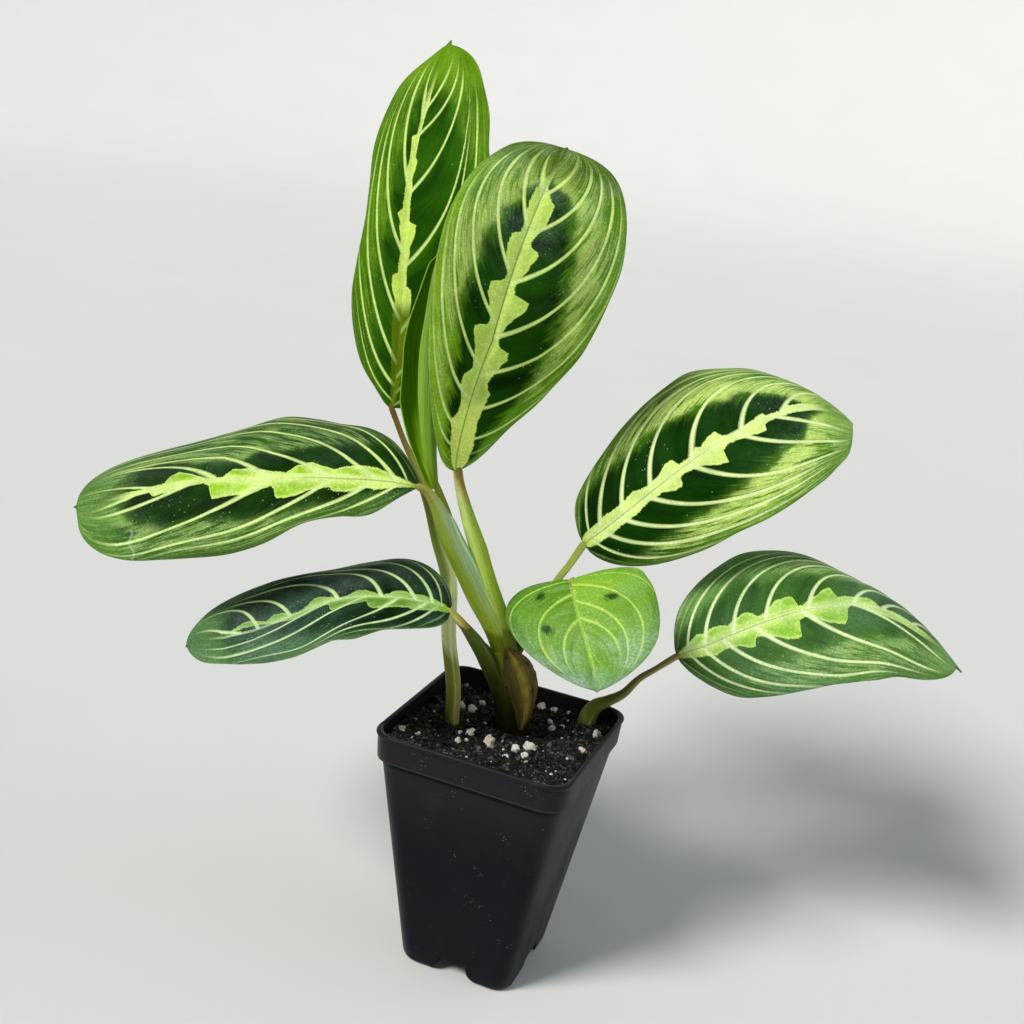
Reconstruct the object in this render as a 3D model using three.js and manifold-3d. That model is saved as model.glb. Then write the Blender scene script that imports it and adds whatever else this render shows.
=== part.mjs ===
// A young prayer plant (maranta) in a square plastic nursery pot, in millimetres, +Z up.
// Every size below is measured from the middle of the pot's underside, with +X to the right along
// the pot's front edge and +Y to its back. The last lines move the whole plant so that the origin
// lies on the surface it stands on, under the middle of its box.
import * as THREE from 'three';
import Module from 'manifold-3d';
import { mergeVertices } from 'three/addons/utils/BufferGeometryUtils.js';

const wasm = await Module();
wasm.setup();

// ---------------------------------------------------------------- driving dimensions

const GAP = 0.3; // clear space between pieces that touch
const BLADE = 0.9; // thickness of a leaf blade at its midrib
const BLADE_EDGE = 0.7; // and at its edge
const PULVINUS = 7; // length of the swollen joint between a stalk and its blade

const POT = {
  height: 86,
  wall: 1.2,
  bottomHalf: 19.8,
  bodyTopHalf: 31.0,
  bandBottom: 76.4,
  bandBottomHalf: 32.2,
  bandTopHalf: 32.6,
  bandStep: 0.4,
  lipHeight: 1.6,
  lipChamfer: 0.3,
  topHalf: 33.0,
  bottomCorner: 6.0,
  topCorner: 7.3,
  bottomRound: 1.4,
  notchWidth: 10,
  notchHeight: 6,
  footRound: 5,
  drainHole: 2.6,
  drainReach: 12,
};

const SOIL = {
  level: 82,
  riseToFront: 0.055,
  riseToRight: 0.02,
  lumps: 0.7,
  rings: 8, // of points on the top, between its edge and its middle
  crumbs: 24,
  smallCrumb: [0.6, 1.1], // least and largest radius
  crumbClear: 7, // distance kept from the middle of a stalk
  seed: 8,
};

// The larger perlite crumbs: x, y and radius.
const BIG_CRUMBS = [
  [3, 28, 1.7], [8, 27.5, 1.1], [10, 18, 1.1], [13, 10.5, 1.2], [26.5, 18, 1.5], [27, 2.5, 1.3],
  [12, -6.5, 2.2], [9, -12, 1.5], [13, -15, 1.2], [-1, -10.5, 2.3], [-8, -9, 1.7],
  [-16, 11.5, 1.7], [-20, 11.5, 1.2], [-15, 18, 1.2], [-28, -18, 1.6], [-9, -17, 1.1],
];

// Stalks: x, y, z and radius at each point, from 10 mm deep in the soil up to the leaf's base. The
// clump is the stem that they branch from, and sheathTip the mouth that the rolled leaf comes out of.
const STALKS = {
  clump: [
    [4, 6, 70, 5.0], [2.7, 4.2, 80, 5.4], [1, 1, 94, 5.2], [-1.6, -3.5, 109, 4.6], [-3, -5.6, 114, 3.6],
  ],
  back: [
    [-15, -5, 71, 2.3], [-17, -4, 80, 2.4], [-19, -1, 92, 2.3], [-24, 2, 108, 2.3], [-28, 5.5, 127, 2.4],
    [-33.5, 6.5, 139, 2.4], [-39, 7.5, 151, 2.0], [-45.5, 8.5, 161, 1.3], [-51, 9, 169, 1.1],
    [-55, 10, 175, 1.1], [-57, 10, 178.5, 1.2],
  ],
  front: [
    [1, 0, 95, 4.0], [-2, -5, 116, 3.2], [-8.5, -7, 132, 2.9], [-15, -8.3, 147.5, 2.6],
    [-20, -9.5, 159.5, 1.9], [-22, -9.8, 165, 1.5], [-23, -10, 169, 1.5],
  ],
  leftLarge: [
    [0, 2, 92, 4.2], [-3.3, -5.9, 116, 3.6], [-10.5, -9.4, 129, 3.6], [-19, -13.7, 145, 3.4],
    [-23, -15.5, 153, 3.0], [-26.5, -17.4, 160, 2.3], [-29, -18.8, 163, 1.7], [-31, -20, 164, 1.6],
  ],
  sheathTip: [[-21, -12.5, 147, 2.2], [-25, -12.4, 156, 1.9], [-28, -13, 161.5, 1.5]],
  leftLow: [
    [0.5, 8, 70, 3.0], [-1, 7.5, 80, 3.1], [-2.5, 2, 92, 3.0], [-5, -7.5, 107, 2.8], [-8.3, -15, 117.5, 2.3],
    [-11, -20, 124, 1.6], [-15, -22, 128, 1.5],
  ],
  rightHigh: [
    [-1.5, -3, 108, 3.0], [0.2, 0.5, 115, 1.8], [2.2, 6, 120, 1.4], [4, 12, 126, 1.3],
    [6, 16, 132.5, 1.2], [8, 20, 137, 1.2], [10, 26, 143, 1.3],
  ],
  rightLow: [
    [19, 25.5, 73, 2.8], [20.5, 26, 83, 3.2], [22.5, 26.5, 87.5, 2.6], [26, 27.5, 90, 1.6], [30.5, 29, 93, 1.1],
    [35, 30, 100, 1.0], [40, 30, 105, 1.0], [46, 31, 111, 1.2],
  ],
  rightSmall: [
    [-1, -3, 108, 2.6], [1.8, 0, 114.5, 1.9], [5, 5, 122, 1.4], [8.5, 11, 129, 1.2], [11, 15, 134, 1.2],
  ],
};

// Leaf blades. spine: the four Bezier points of the midrib, from base to tip. face: where the upper
// side looks at the base and at the tip, as azimuth from +Y towards +X and elevation, in degrees.
// half: widest left and right half, seen along the midrib with the upper side on top. ends: how the
// edge closes in at the base and at the tip, where 0.5 is an ellipse and less is blunter. fold and
// curl: how each half rises from the midrib and bends on its way to the edge, in degrees.
// wave: height, number of waves and phase of the wavy edge. trim: how far the edge of each half lies
// from that even outline, as a factor at every tenth of the midrib.
const LEAVES = {
  leaf_upright_back: {
    stalk: 'back',
    spine: [[-57, 10, 178.5], [-59, 20, 217], [-71.5, 22.5, 254.5], [-65.5, 43.5, 293.2]],
    face: [[177, 4], [193, 16]], half: [19, 32], ends: [0.48, 0.52], fold: [5, 10], curl: [-18, -14],
    wave: [0.6, 2.5, 0.2],
    trim: [
      [0.6, 1.03, 1.13, 1.1, 0.96, 0.87, 0.91, 1.02, 1.04, 1.05, 0.6],
      [1, 1, 1, 1, 1, 1, 1, 0.98, 1.03, 1.05, 1.2],
    ],
  },
  leaf_upright_front: {
    stalk: 'front',
    spine: [[-23, -10, 169], [-16, -14, 203], [-19, 0, 238], [-19, 39, 266]],
    face: [[115, -10], [174, 38]], half: [25, 33], ends: [0.52, 0.41], fold: [14, 4], curl: [-10, -19],
    wave: [0.5, 2, 0.1],
    trim: [
      [1, 1, 1, 1, 1, 1, 1, 1, 1.02, 1.06, 1.2],
      [0.9, 0.87, 0.97, 0.97, 0.99, 0.98, 0.98, 1, 1, 1.02, 1.08],
    ],
  },
  leaf_left_large: {
    stalk: 'leftLarge',
    spine: [[-31, -20, 164], [-68, -29, 167], [-99, -27, 152], [-133, -50, 141]],
    face: [[168, 48], [150, 75]], half: [26, 45], ends: [0.7, 0.28], fold: [-4, -4], curl: [-27, -26],
    wave: [1.2, 2.5, 0.5],
    trim: [
      [0.7, 1.14, 0.96, 0.94, 1.05, 1.06, 1.07, 1.06, 1, 0.95, 0.94],
      [1, 1.1, 1.05, 1, 1.06, 1.08, 0.95, 1, 1.06, 1.03, 0.98],
    ],
  },
  leaf_left_low: {
    stalk: 'leftLow',
    spine: [[-15, -22, 128], [-34, -30, 139], [-64, -31, 116], [-89, -51, 106]],
    face: [[143, 82], [137, 74]], half: [22, 26], ends: [0.34, 0.49], fold: [6, 7], curl: [-17, -16],
    wave: [0.9, 2.5, 0.4],
    trim: [
      [1, 0.93, 0.92, 1.12, 1.01, 0.99, 1.04, 1.08, 1.01, 0.93, 1.1],
      [1, 1, 0.97, 0.95, 0.95, 0.86, 0.86, 0.97, 1.05, 1, 0.8],
    ],
  },
  leaf_right_high: {
    stalk: 'rightHigh',
    spine: [[10, 26, 143], [32, 31, 166], [58, 53, 209], [82, 72, 191]],
    face: [[150, 38], [136, 68]], half: [34, 29], ends: [0.47, 0.36], fold: [-4, 0], curl: [-27, -23],
    wave: [0.6, 2, 0.3],
    trim: [
      [1.1, 0.92, 0.87, 0.89, 0.92, 0.97, 1.06, 1.05, 1.06, 0.85, 0.63],
      [1, 1.02, 1.02, 1.02, 1, 1.02, 1.03, 1.04, 1.06, 1.05, 1.1],
    ],
  },
  leaf_right_small: {
    stalk: 'rightSmall',
    spine: [[11, 15, 134], [21, -1, 129], [28, -12, 125], [36, -27, 118]],
    face: [[169, 43], [158, 34]], half: [24, 24], ends: [0.34, 0.59], fold: [14, 12], curl: [-9, -10],
    wave: [0.4, 2, 0],
    trim: [
      [1.1, 1.1, 1.03, 1.01, 1, 1.01, 1.03, 1.06, 1.04, 0.95, 0.8],
      [1, 1, 1, 1, 1, 1, 1, 1, 1, 1, 1],
    ],
  },
  leaf_right_low: {
    stalk: 'rightLow',
    spine: [[46, 31, 111], [75, 26, 136], [98, 44, 156], [132, 52, 124]],
    face: [[148, 35], [152, 84]], half: [30, 29], ends: [0.49, 0.51], fold: [-6, -4], curl: [-29, -28],
    wave: [0.7, 2.5, 0.1],
    trim: [
      [1.2, 1.08, 1.07, 1.11, 1.06, 1.01, 0.93, 0.87, 0.82, 0.85, 0.9],
      [1, 1.07, 0.99, 0.95, 0.93, 0.92, 0.96, 1.01, 0.98, 1, 1],
    ],
  },
};

// The youngest leaf, still half rolled: x, y, z and radius of the roll, from its foot to its tip.
const ROLLED = {
  path: [
    [-28.5, -13.1, 162.3, 0.9], [-31, -13, 166.5, 1.4], [-34.5, -10.8, 173, 2.3], [-39, -7, 187, 4.6],
    [-42, -3, 202, 4.6], [-43, 0, 214, 3.4], [-43.5, 2, 224, 2.0], [-43.5, 4, 231, 0.9],
  ],
  firstEdge: 235, // azimuth of the free edge that stands open
  turn: 295, // how far the blade goes round from there
  open: 1.35, // the radius at the free edge and at the tucked edge, as parts of the roll's radius
  tucked: 0.85,
};

// The dry brown sheath that clings to the front right of the clump, as a narrow curled blade.
const DRY_SHEATH = {
  spine: [[6.5, -3, 86], [10.5, -5.5, 95], [8.5, -6.5, 106], [0.5, -8.5, 114.5]],
  face: [[138, 5], [142, 15]],
  half: [6.8, 6.8],
  ends: [0.8, 0.62],
  fold: [-8, -8],
  curl: [-62, -62],
  wave: [0.4, 2, 0],
};

// ---------------------------------------------------------------- helpers

const vector = ([x, y, z]) => new THREE.Vector3(x, y, z);
const mix = THREE.MathUtils.lerp;
const radians = THREE.MathUtils.degToRad;

// The body that joins rings of points, each ring having as many points as the next. Each end is
// closed by a fan round its middle. A blade's rings go over its upper side and back under it, so its
// ends are closed by a strip instead, and the quads of both sides are split alike.
function skin(rings, blade = false) {
  const count = rings[0].length;
  const half = count / 2;
  const points = rings.flat();
  const faces = [];
  for (let i = 0; i < rings.length - 1; i++) {
    for (let j = 0; j < count; j++) {
      const [a, b] = [i * count + j, i * count + ((j + 1) % count)];
      const [d, c] = [a + count, b + count];
      faces.push(...(blade && j >= half ? [a, b, d, b, c, d] : [a, b, c, a, c, d]));
    }
  }
  for (const [first, flip] of [[0, true], [(rings.length - 1) * count, false]]) {
    if (blade) {
      for (let j = 0; j < half - 1; j++) {
        const [a, b] = [first + j, first + j + 1];
        const [c, d] = [first + count - 2 - j, first + count - 1 - j];
        faces.push(...(flip ? [a, c, b, a, d, c] : [a, b, c, a, c, d]));
      }
    } else {
      const sum = (total, point) => total.add(point);
      const middle = points.slice(first, first + count).reduce(sum, new THREE.Vector3());
      const hub = points.push(middle.divideScalar(count)) - 1;
      for (let j = 0; j < count; j++) {
        const pair = [first + j, first + ((j + 1) % count)];
        faces.push(hub, ...(flip ? pair.reverse() : pair));
      }
    }
  }
  const geometry = new THREE.BufferGeometry().setFromPoints(points);
  geometry.setIndex(faces);
  return solid(geometry);
}

// A closed geometry as a solid that can be joined and cut.
function solid(geometry) {
  geometry.deleteAttribute('normal');
  geometry.deleteAttribute('uv');
  const merged = mergeVertices(geometry, 1e-4);
  const vertProperties = new Float32Array(merged.attributes.position.array);
  const triVerts = new Uint32Array(merged.index.array);
  return new wasm.Manifold(new wasm.Mesh({ numProp: 3, vertProperties, triVerts }));
}

// A solid as a named mesh.
function piece(name, body, color, roughness) {
  const { vertProperties, triVerts } = body.getMesh();
  const geometry = new THREE.BufferGeometry();
  geometry.setAttribute('position', new THREE.BufferAttribute(vertProperties, 3));
  geometry.setIndex(new THREE.BufferAttribute(triVerts, 1));
  geometry.computeVertexNormals();
  const material = new THREE.MeshStandardMaterial({ color, roughness, metalness: 0 });
  const mesh = new THREE.Mesh(geometry, material);
  mesh.name = name;
  return mesh;
}

const join = (bodies) => bodies.reduce((sum, body) => sum.add(body));

// Repeatable random numbers from 0 to 1.
function randomSource(seed) {
  let state = seed;
  return () => {
    state = (state * 1664525 + 1013904223) % 4294967296;
    return state / 4294967296;
  };
}

// A square ring with round corners at height z, which may be a function of x and y.
function squareRing(half, corner, z, sideSteps = 1) {
  const cornerSteps = 4;
  const straight = half - corner;
  const ring = [];
  for (let quarter = 0; quarter < 4; quarter++) {
    const turn = (quarter * Math.PI) / 2;
    const place = (x, y) => {
      const px = x * Math.cos(turn) - y * Math.sin(turn);
      const py = x * Math.sin(turn) + y * Math.cos(turn);
      ring.push(new THREE.Vector3(px, py, typeof z === 'function' ? z(px, py) : z));
    };
    for (let i = 0; i < sideSteps; i++) place(half, mix(-straight, straight, i / sideSteps));
    for (let i = 0; i < cornerSteps; i++) {
      const angle = (i / cornerSteps) * (Math.PI / 2);
      place(straight + corner * Math.cos(angle), straight + corner * Math.sin(angle));
    }
  }
  return ring;
}

// ---------------------------------------------------------------- pot

const bodyHalf = (z) => mix(POT.bottomHalf, POT.bodyTopHalf, z / POT.bandBottom);
const cornerAt = (z) => mix(POT.bottomCorner, POT.topCorner, z / POT.height);
const potRing = (half, z, sideSteps) => squareRing(half, cornerAt(z), z, sideSteps);

function potOutside() {
  const lip = POT.height - POT.lipHeight;
  return skin([
    potRing(POT.bottomHalf - POT.bottomRound, 0),
    potRing(POT.bottomHalf - POT.bottomRound * 0.3, POT.bottomRound * 0.3),
    potRing(bodyHalf(POT.bottomRound), POT.bottomRound),
    potRing(POT.bodyTopHalf, POT.bandBottom),
    potRing(POT.bandBottomHalf, POT.bandBottom + POT.bandStep),
    potRing(POT.bandTopHalf, lip),
    potRing(POT.topHalf, lip + POT.lipChamfer),
    potRing(POT.topHalf, POT.height - POT.lipChamfer),
    potRing(POT.topHalf - POT.lipChamfer, POT.height),
  ]);
}

// The space inside the walls, made smaller by clear all round, with a given top.
function potInside(clear, topRings, sideSteps) {
  const inset = POT.wall + clear;
  const step = POT.bandBottom + inset;
  return skin([
    potRing(bodyHalf(inset) - inset, inset, sideSteps),
    potRing(bodyHalf(step) - inset, step, sideSteps),
    potRing(POT.bandBottomHalf - inset, step + POT.bandStep, sideSteps),
    ...topRings,
  ]);
}

// The cross of two flared channels under the floor, which leaves four feet at the corners.
function channels(grow) {
  const half = POT.notchWidth / 2 + grow;
  const top = POT.notchHeight + grow;
  const round = POT.footRound - grow;
  const reach = POT.topHalf * 2;
  const outline = new THREE.Shape();
  outline.moveTo(-half - round, -1);
  outline.lineTo(half + round, -1);
  outline.lineTo(half + round, 0);
  outline.absarc(half + round, round, round, -Math.PI / 2, -Math.PI, true);
  outline.lineTo(half, top);
  outline.lineTo(-half, top);
  outline.absarc(-half - round, round, round, 0, -Math.PI / 2, true);
  const options = { depth: reach, bevelEnabled: false, curveSegments: 5 };
  const bar = new THREE.ExtrudeGeometry(outline, options).translate(0, 0, -reach / 2).rotateX(Math.PI / 2);
  const cross = bar.clone().rotateZ(Math.PI / 2);
  return solid(bar).add(solid(cross));
}

function drainHoles() {
  const reach = POT.drainReach;
  const places = [[0, 0], [reach, 0], [-reach, 0], [0, reach], [0, -reach]];
  return join(places.map(([x, y]) => {
    const hole = new THREE.CylinderGeometry(POT.drainHole, POT.drainHole, 4 * POT.wall, 12);
    return solid(hole.rotateX(Math.PI / 2).translate(x, y, POT.notchHeight + POT.wall));
  }));
}

function makePot() {
  const above = POT.height + 1;
  const top = [potRing(POT.topHalf - POT.wall, POT.height), potRing(POT.topHalf - POT.wall, above)];
  const cavity = potInside(0, top).subtract(channels(POT.wall));
  return potOutside().subtract(channels(0)).subtract(cavity).subtract(drainHoles());
}

// ---------------------------------------------------------------- stalks and stems

const FINE = 20; // steps between two points of a stalk's path when its length is measured

// The part of a stalk between two distances along it, made thicker by grow. The second distance is
// zero at the stalk's end and counts back from there.
function stalkBody(path, from, beforeEnd, grow = 0) {
  const sides = 9;
  const ringSpacing = 5;
  const curve = new THREE.CatmullRomCurve3(path.map(vector));
  const reached = curve.getLengths((path.length - 1) * FINE).filter((_, i) => i % FINE === 0);
  const total = reached.at(-1);
  const end = total - beforeEnd;
  const steps = Math.max(1, Math.round((end - from) / ringSpacing));
  let side = new THREE.Vector3(1, 0, 0);
  const rings = [];
  for (let i = 0; i <= steps; i++) {
    const distance = mix(from, end, i / steps);
    const middle = curve.getPointAt(distance / total);
    const along = curve.getTangentAt(distance / total);
    side = side.clone().addScaledVector(along, -side.dot(along)).normalize();
    const other = along.clone().cross(side);
    const after = Math.min(Math.max(reached.findIndex((length) => length >= distance), 1), path.length - 1);
    const part = (distance - reached[after - 1]) / (reached[after] - reached[after - 1]);
    const radius = mix(path[after - 1][3], path[after][3], Math.min(part, 1)) + grow;
    rings.push(Array.from({ length: sides }, (_, j) => {
      const angle = (2 * Math.PI * j) / sides;
      return middle.clone()
        .addScaledVector(side, radius * Math.cos(angle))
        .addScaledVector(other, radius * Math.sin(angle));
    }));
  }
  return skin(rings);
}

const wholeStalk = (name, grow) => stalkBody(STALKS[name], 0, 0, grow);
const stalkBelowLeaf = (name) => stalkBody(STALKS[name], 0, PULVINUS + GAP);
const pulvinus = (name) => stalkBody(STALKS[name], stalkLength(name) - PULVINUS, 0);

function stalkLength(name) {
  const path = STALKS[name];
  return new THREE.CatmullRomCurve3(path.map(vector)).getLengths((path.length - 1) * FINE).at(-1);
}

// ---------------------------------------------------------------- blades

function direction([azimuth, elevation]) {
  const [turn, rise] = [radians(azimuth), radians(elevation)];
  const flat = Math.cos(rise);
  return new THREE.Vector3(flat * Math.sin(turn), flat * Math.cos(turn), Math.sin(rise));
}

// The value at s, from 0 to 1, of a smooth curve through evenly spaced values.
function smoothThrough(values, s) {
  const at = s * (values.length - 1);
  const from = Math.min(Math.floor(at), values.length - 2);
  const [before, low, high, after] = [-1, 0, 1, 2].map(
    (step) => values[THREE.MathUtils.clamp(from + step, 0, values.length - 1)],
  );
  const t = at - from;
  const bend = (high - before) * t * (1 - t) ** 2 - (after - low) * (1 - t) * t ** 2;
  return mix(low, high, t * t * (3 - 2 * t)) + bend / 2;
}

// A leaf blade: rings across the midrib, each going over the upper side and back under it.
function bladeBody(leaf, along = 20, across = 8) {
  const curve = new THREE.CubicBezierCurve3(...leaf.spine.map(vector));
  const [low, high] = leaf.face.map(direction);
  const [base, tip] = leaf.ends;
  const widest = base / (base + tip);
  const rings = [];
  for (let i = 0; i <= along; i++) {
    const s = (1 - Math.cos((Math.PI * i) / along)) / 2;
    const middle = curve.getPointAt(s);
    const forward = curve.getTangentAt(s);
    const facing = low.clone().lerp(high, s);
    const right = forward.clone().cross(facing).normalize();
    const up = right.clone().cross(forward);
    const width = (s ** base * (1 - s) ** tip) / (widest ** base * (1 - widest) ** tip);
    const ring = [];
    for (let j = 0; j <= 2 * across + 1; j++) {
      const upper = j <= across;
      const v = mix(-1, 1, (upper ? j : 2 * across + 1 - j) / across);
      const half = v < 0 ? 0 : 1;
      const trim = leaf.trim ? smoothThrough(leaf.trim[half], s) : 1;
      const size = Math.max(width * trim * leaf.half[half], 0.5);
      const fold = radians(leaf.fold[half]);
      const curl = radians(leaf.curl[half]);
      const q = Math.abs(v);
      const out = (Math.sin(fold + curl * q) - Math.sin(fold)) / curl;
      const rise = (Math.cos(fold) - Math.cos(fold + curl * q)) / curl;
      const [height, waves, phase] = leaf.wave;
      const wave = height * q * q * width * Math.sin(2 * Math.PI * (waves * s + phase + half / 3));
      const thick = ((upper ? 1 : -1) * mix(BLADE, BLADE_EDGE, q * q)) / 2;
      ring.push(middle.clone()
        .addScaledVector(right, Math.sign(v) * out * size)
        .addScaledVector(up, rise * size + wave + thick));
    }
    rings.push(ring);
  }
  return skin(rings, true);
}

// The half-rolled leaf: an open curl round its own axis that swells and closes again.
function rolledBody() {
  const steps = 14;
  const around = 12;
  const curve = new THREE.CatmullRomCurve3(ROLLED.path.map(vector));
  const rings = [];
  for (let i = 0; i <= steps; i++) {
    const u = i / steps;
    const middle = curve.getPoint(u);
    const along = curve.getTangent(u);
    const at = Math.min(Math.floor(u * (ROLLED.path.length - 1)), ROLLED.path.length - 2);
    const radius = mix(ROLLED.path[at][3], ROLLED.path[at + 1][3], u * (ROLLED.path.length - 1) - at);
    const ring = [];
    for (let j = 0; j <= 2 * around + 1; j++) {
      const outer = j <= around;
      const part = (outer ? j : 2 * around + 1 - j) / around;
      const toward = direction([ROLLED.firstEdge + ROLLED.turn * part, 0]);
      toward.addScaledVector(along, -toward.dot(along)).normalize();
      const reach = radius * mix(ROLLED.open, ROLLED.tucked, part) + (outer ? BLADE : -BLADE) / 2;
      ring.push(middle.clone().addScaledVector(toward, Math.max(reach, outer ? 0.9 : 0.1)));
    }
    rings.push(ring.reverse());
  }
  return skin(rings, true);
}

// ---------------------------------------------------------------- soil

// The height of the soil: a plane that tilts, with two sets of small waves.
const soilTop = (x, y) =>
  SOIL.level - SOIL.riseToFront * y + SOIL.riseToRight * x +
  SOIL.lumps * Math.sin(0.31 * x + 1) * Math.sin(0.27 * y + 2) +
  SOIL.lumps * 0.4 * Math.sin(0.8 * x + 0.6 * y);

// A slightly flat crumb, sunk by a third of its height.
function crumb(x, y, radius, turn) {
  const Stone = radius > 1 ? THREE.IcosahedronGeometry : THREE.OctahedronGeometry;
  const stone = new Stone(radius, 0).scale(1, 0.85, 0.8).rotateZ(turn).rotateX(turn * 1.7);
  return solid(stone.translate(x, y, soilTop(x, y) + radius * 0.15));
}

// Perlite crumbs: the large ones where they lie, and small ones scattered in the free soil.
function crumbs() {
  const random = randomSource(SOIL.seed);
  const reach = POT.topHalf - POT.wall - 4;
  const places = BIG_CRUMBS.map(([x, y, radius]) => [x, y, radius, random() * 6]);
  const feet = Object.values(STALKS).map((path) => path[1]);
  while (places.length < SOIL.crumbs + BIG_CRUMBS.length) {
    const [x, y] = [mix(-reach, reach, random()), mix(-reach, reach, random())];
    const radius = mix(...SOIL.smallCrumb, random());
    const clear = feet.every((foot) => Math.hypot(x - foot[0], y - foot[1]) > SOIL.crumbClear);
    if (clear) places.push([x, y, radius, random() * 6]);
  }
  return join(places.map((place) => crumb(...place)));
}

function makeSoil() {
  const sideSteps = 5;
  const edge = POT.bandBottomHalf - POT.wall - GAP;
  const rings = [];
  for (let i = 0; i < SOIL.rings; i++) {
    const half = edge * (1 - i / (SOIL.rings + 1));
    rings.push(squareRing(half, (POT.topCorner * half) / edge, soilTop, sideSteps));
  }
  const fill = potInside(GAP, rings, sideSteps).subtract(channels(POT.wall + GAP));
  const rooted = ['clump', 'back', 'leftLow', 'rightLow'];
  return fill.add(crumbs()).subtract(join(rooted.map((name) => wholeStalk(name, GAP))));
}

// ---------------------------------------------------------------- the plant

const GREEN = { dark: 0x3f7a22, mid: 0x5c8f35, lime: 0x8db84a, stem: 0x9aab52 };

const clumpStalks = ['front', 'leftLarge', 'leftLow', 'rightHigh', 'rightSmall'];
const clump = () => join([wholeStalk('clump'), wholeStalk('sheathTip'), ...clumpStalks.map(stalkBelowLeaf)]);
const grownClump = () => join(['clump', ...clumpStalks].map((name) => wholeStalk(name, GAP)));
const leafBody = (leaf) => bladeBody(leaf).add(pulvinus(leaf.stalk));

const plant = new THREE.Group();
plant.add(
  piece('pot', makePot(), 0x24272d, 0.45),
  piece('soil', makeSoil(), 0x2b2320, 0.95),
  piece('stem_clump', clump(), GREEN.stem, 0.55),
  piece('stem_back', stalkBelowLeaf('back'), GREEN.stem, 0.55),
  piece('stem_right', stalkBelowLeaf('rightLow'), GREEN.stem, 0.55),
  piece('dry_sheath', bladeBody(DRY_SHEATH, 10, 6).subtract(grownClump()), 0x6b4a1c, 0.8),
  piece('leaf_rolled', rolledBody(), GREEN.mid, 0.5),
);
for (const [name, leaf] of Object.entries(LEAVES)) {
  const color = name === 'leaf_right_small' ? GREEN.lime : GREEN.dark;
  plant.add(piece(name, leafBody(leaf), color, 0.45));
}

const box = new THREE.Box3().setFromObject(plant);
const middle = box.getCenter(new THREE.Vector3());
plant.position.set(-middle.x, -middle.y, -box.min.z);

const group = new THREE.Group();
group.name = 'potted_prayer_plant';
group.add(plant);

export default group;
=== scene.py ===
# A young prayer plant (maranta) in a square plastic nursery pot: the visual model round its frame.
# Sizes are in millimetres, measured from the middle of the pot's underside, with +X to the right
# along the pot's front edge and +Y to its back. Angles are in degrees.
import math

import bmesh
import bpy
import numpy as np
from mathutils import Matrix, Vector, noise


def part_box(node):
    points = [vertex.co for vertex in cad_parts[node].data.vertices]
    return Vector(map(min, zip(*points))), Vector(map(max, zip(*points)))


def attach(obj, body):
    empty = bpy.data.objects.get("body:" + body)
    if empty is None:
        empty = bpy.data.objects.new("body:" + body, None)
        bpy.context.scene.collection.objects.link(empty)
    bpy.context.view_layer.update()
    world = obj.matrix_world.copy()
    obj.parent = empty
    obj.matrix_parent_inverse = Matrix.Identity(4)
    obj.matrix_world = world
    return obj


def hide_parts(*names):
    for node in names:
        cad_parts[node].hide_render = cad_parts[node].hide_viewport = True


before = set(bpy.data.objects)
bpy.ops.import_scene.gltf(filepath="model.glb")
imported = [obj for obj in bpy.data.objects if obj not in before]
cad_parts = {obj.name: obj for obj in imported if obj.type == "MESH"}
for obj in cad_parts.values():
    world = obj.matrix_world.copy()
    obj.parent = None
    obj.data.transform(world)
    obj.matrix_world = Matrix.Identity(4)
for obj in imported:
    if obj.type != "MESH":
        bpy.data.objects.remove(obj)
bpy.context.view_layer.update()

MM = 0.001

# ---------------------------------------------------------------- driving dimensions

# The pot: half widths reach from its middle to a flat side. A drain hole is given by its radius, and
# the outer ones by their distance from the middle.
POT = dict(
    height=86, wall=1.2, bottom_half=19.8, body_top_half=31.0, band_bottom=76.4, band_bottom_half=32.2,
    band_top_half=32.6, band_step=0.4, lip_height=1.6, lip_round=0.55, top_half=33.0, bottom_corner=6.0,
    top_corner=7.3, bottom_round=1.4, notch_width=10, notch_height=6, foot_round=5, drain_hole=2.6,
    drain_reach=12,
)
# The soil: its height in the middle, its slopes, how far it climbs at the front wall, its lumps, its
# lowest level and its gap to the wall, and how many rings its mesh has, with how many points on a side.
SOIL = dict(
    level=82, rise_to_front=0.055, rise_to_right=0.02, front_rise=0.9, lumps=0.7, bottom=8.6, clear=0.3,
    rings=84, side_points=56,
)

# The larger perlite crumbs: x, y and radius.
BIG_CRUMBS = [
    (3, 28, 1.7), (8, 27.5, 1.1), (10, 18, 1.1), (13, 10.5, 1.2), (26.5, 18, 1.5), (27, 2.5, 1.3),
    (12, -6.5, 2.2), (9, -12, 1.5), (13, -15, 1.2), (-1, -10.5, 2.3), (-8, -9, 1.7),
    (-16, 11.5, 1.7), (-20, 11.5, 1.2), (-15, 18, 1.2), (-28, -18, 1.6), (-9, -17, 1.1),
]
# How many smaller crumbs, chips and fibres lie on the soil.
SMALL_CRUMBS, CHIPS, FIBRES = 70, 900, 70

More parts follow.
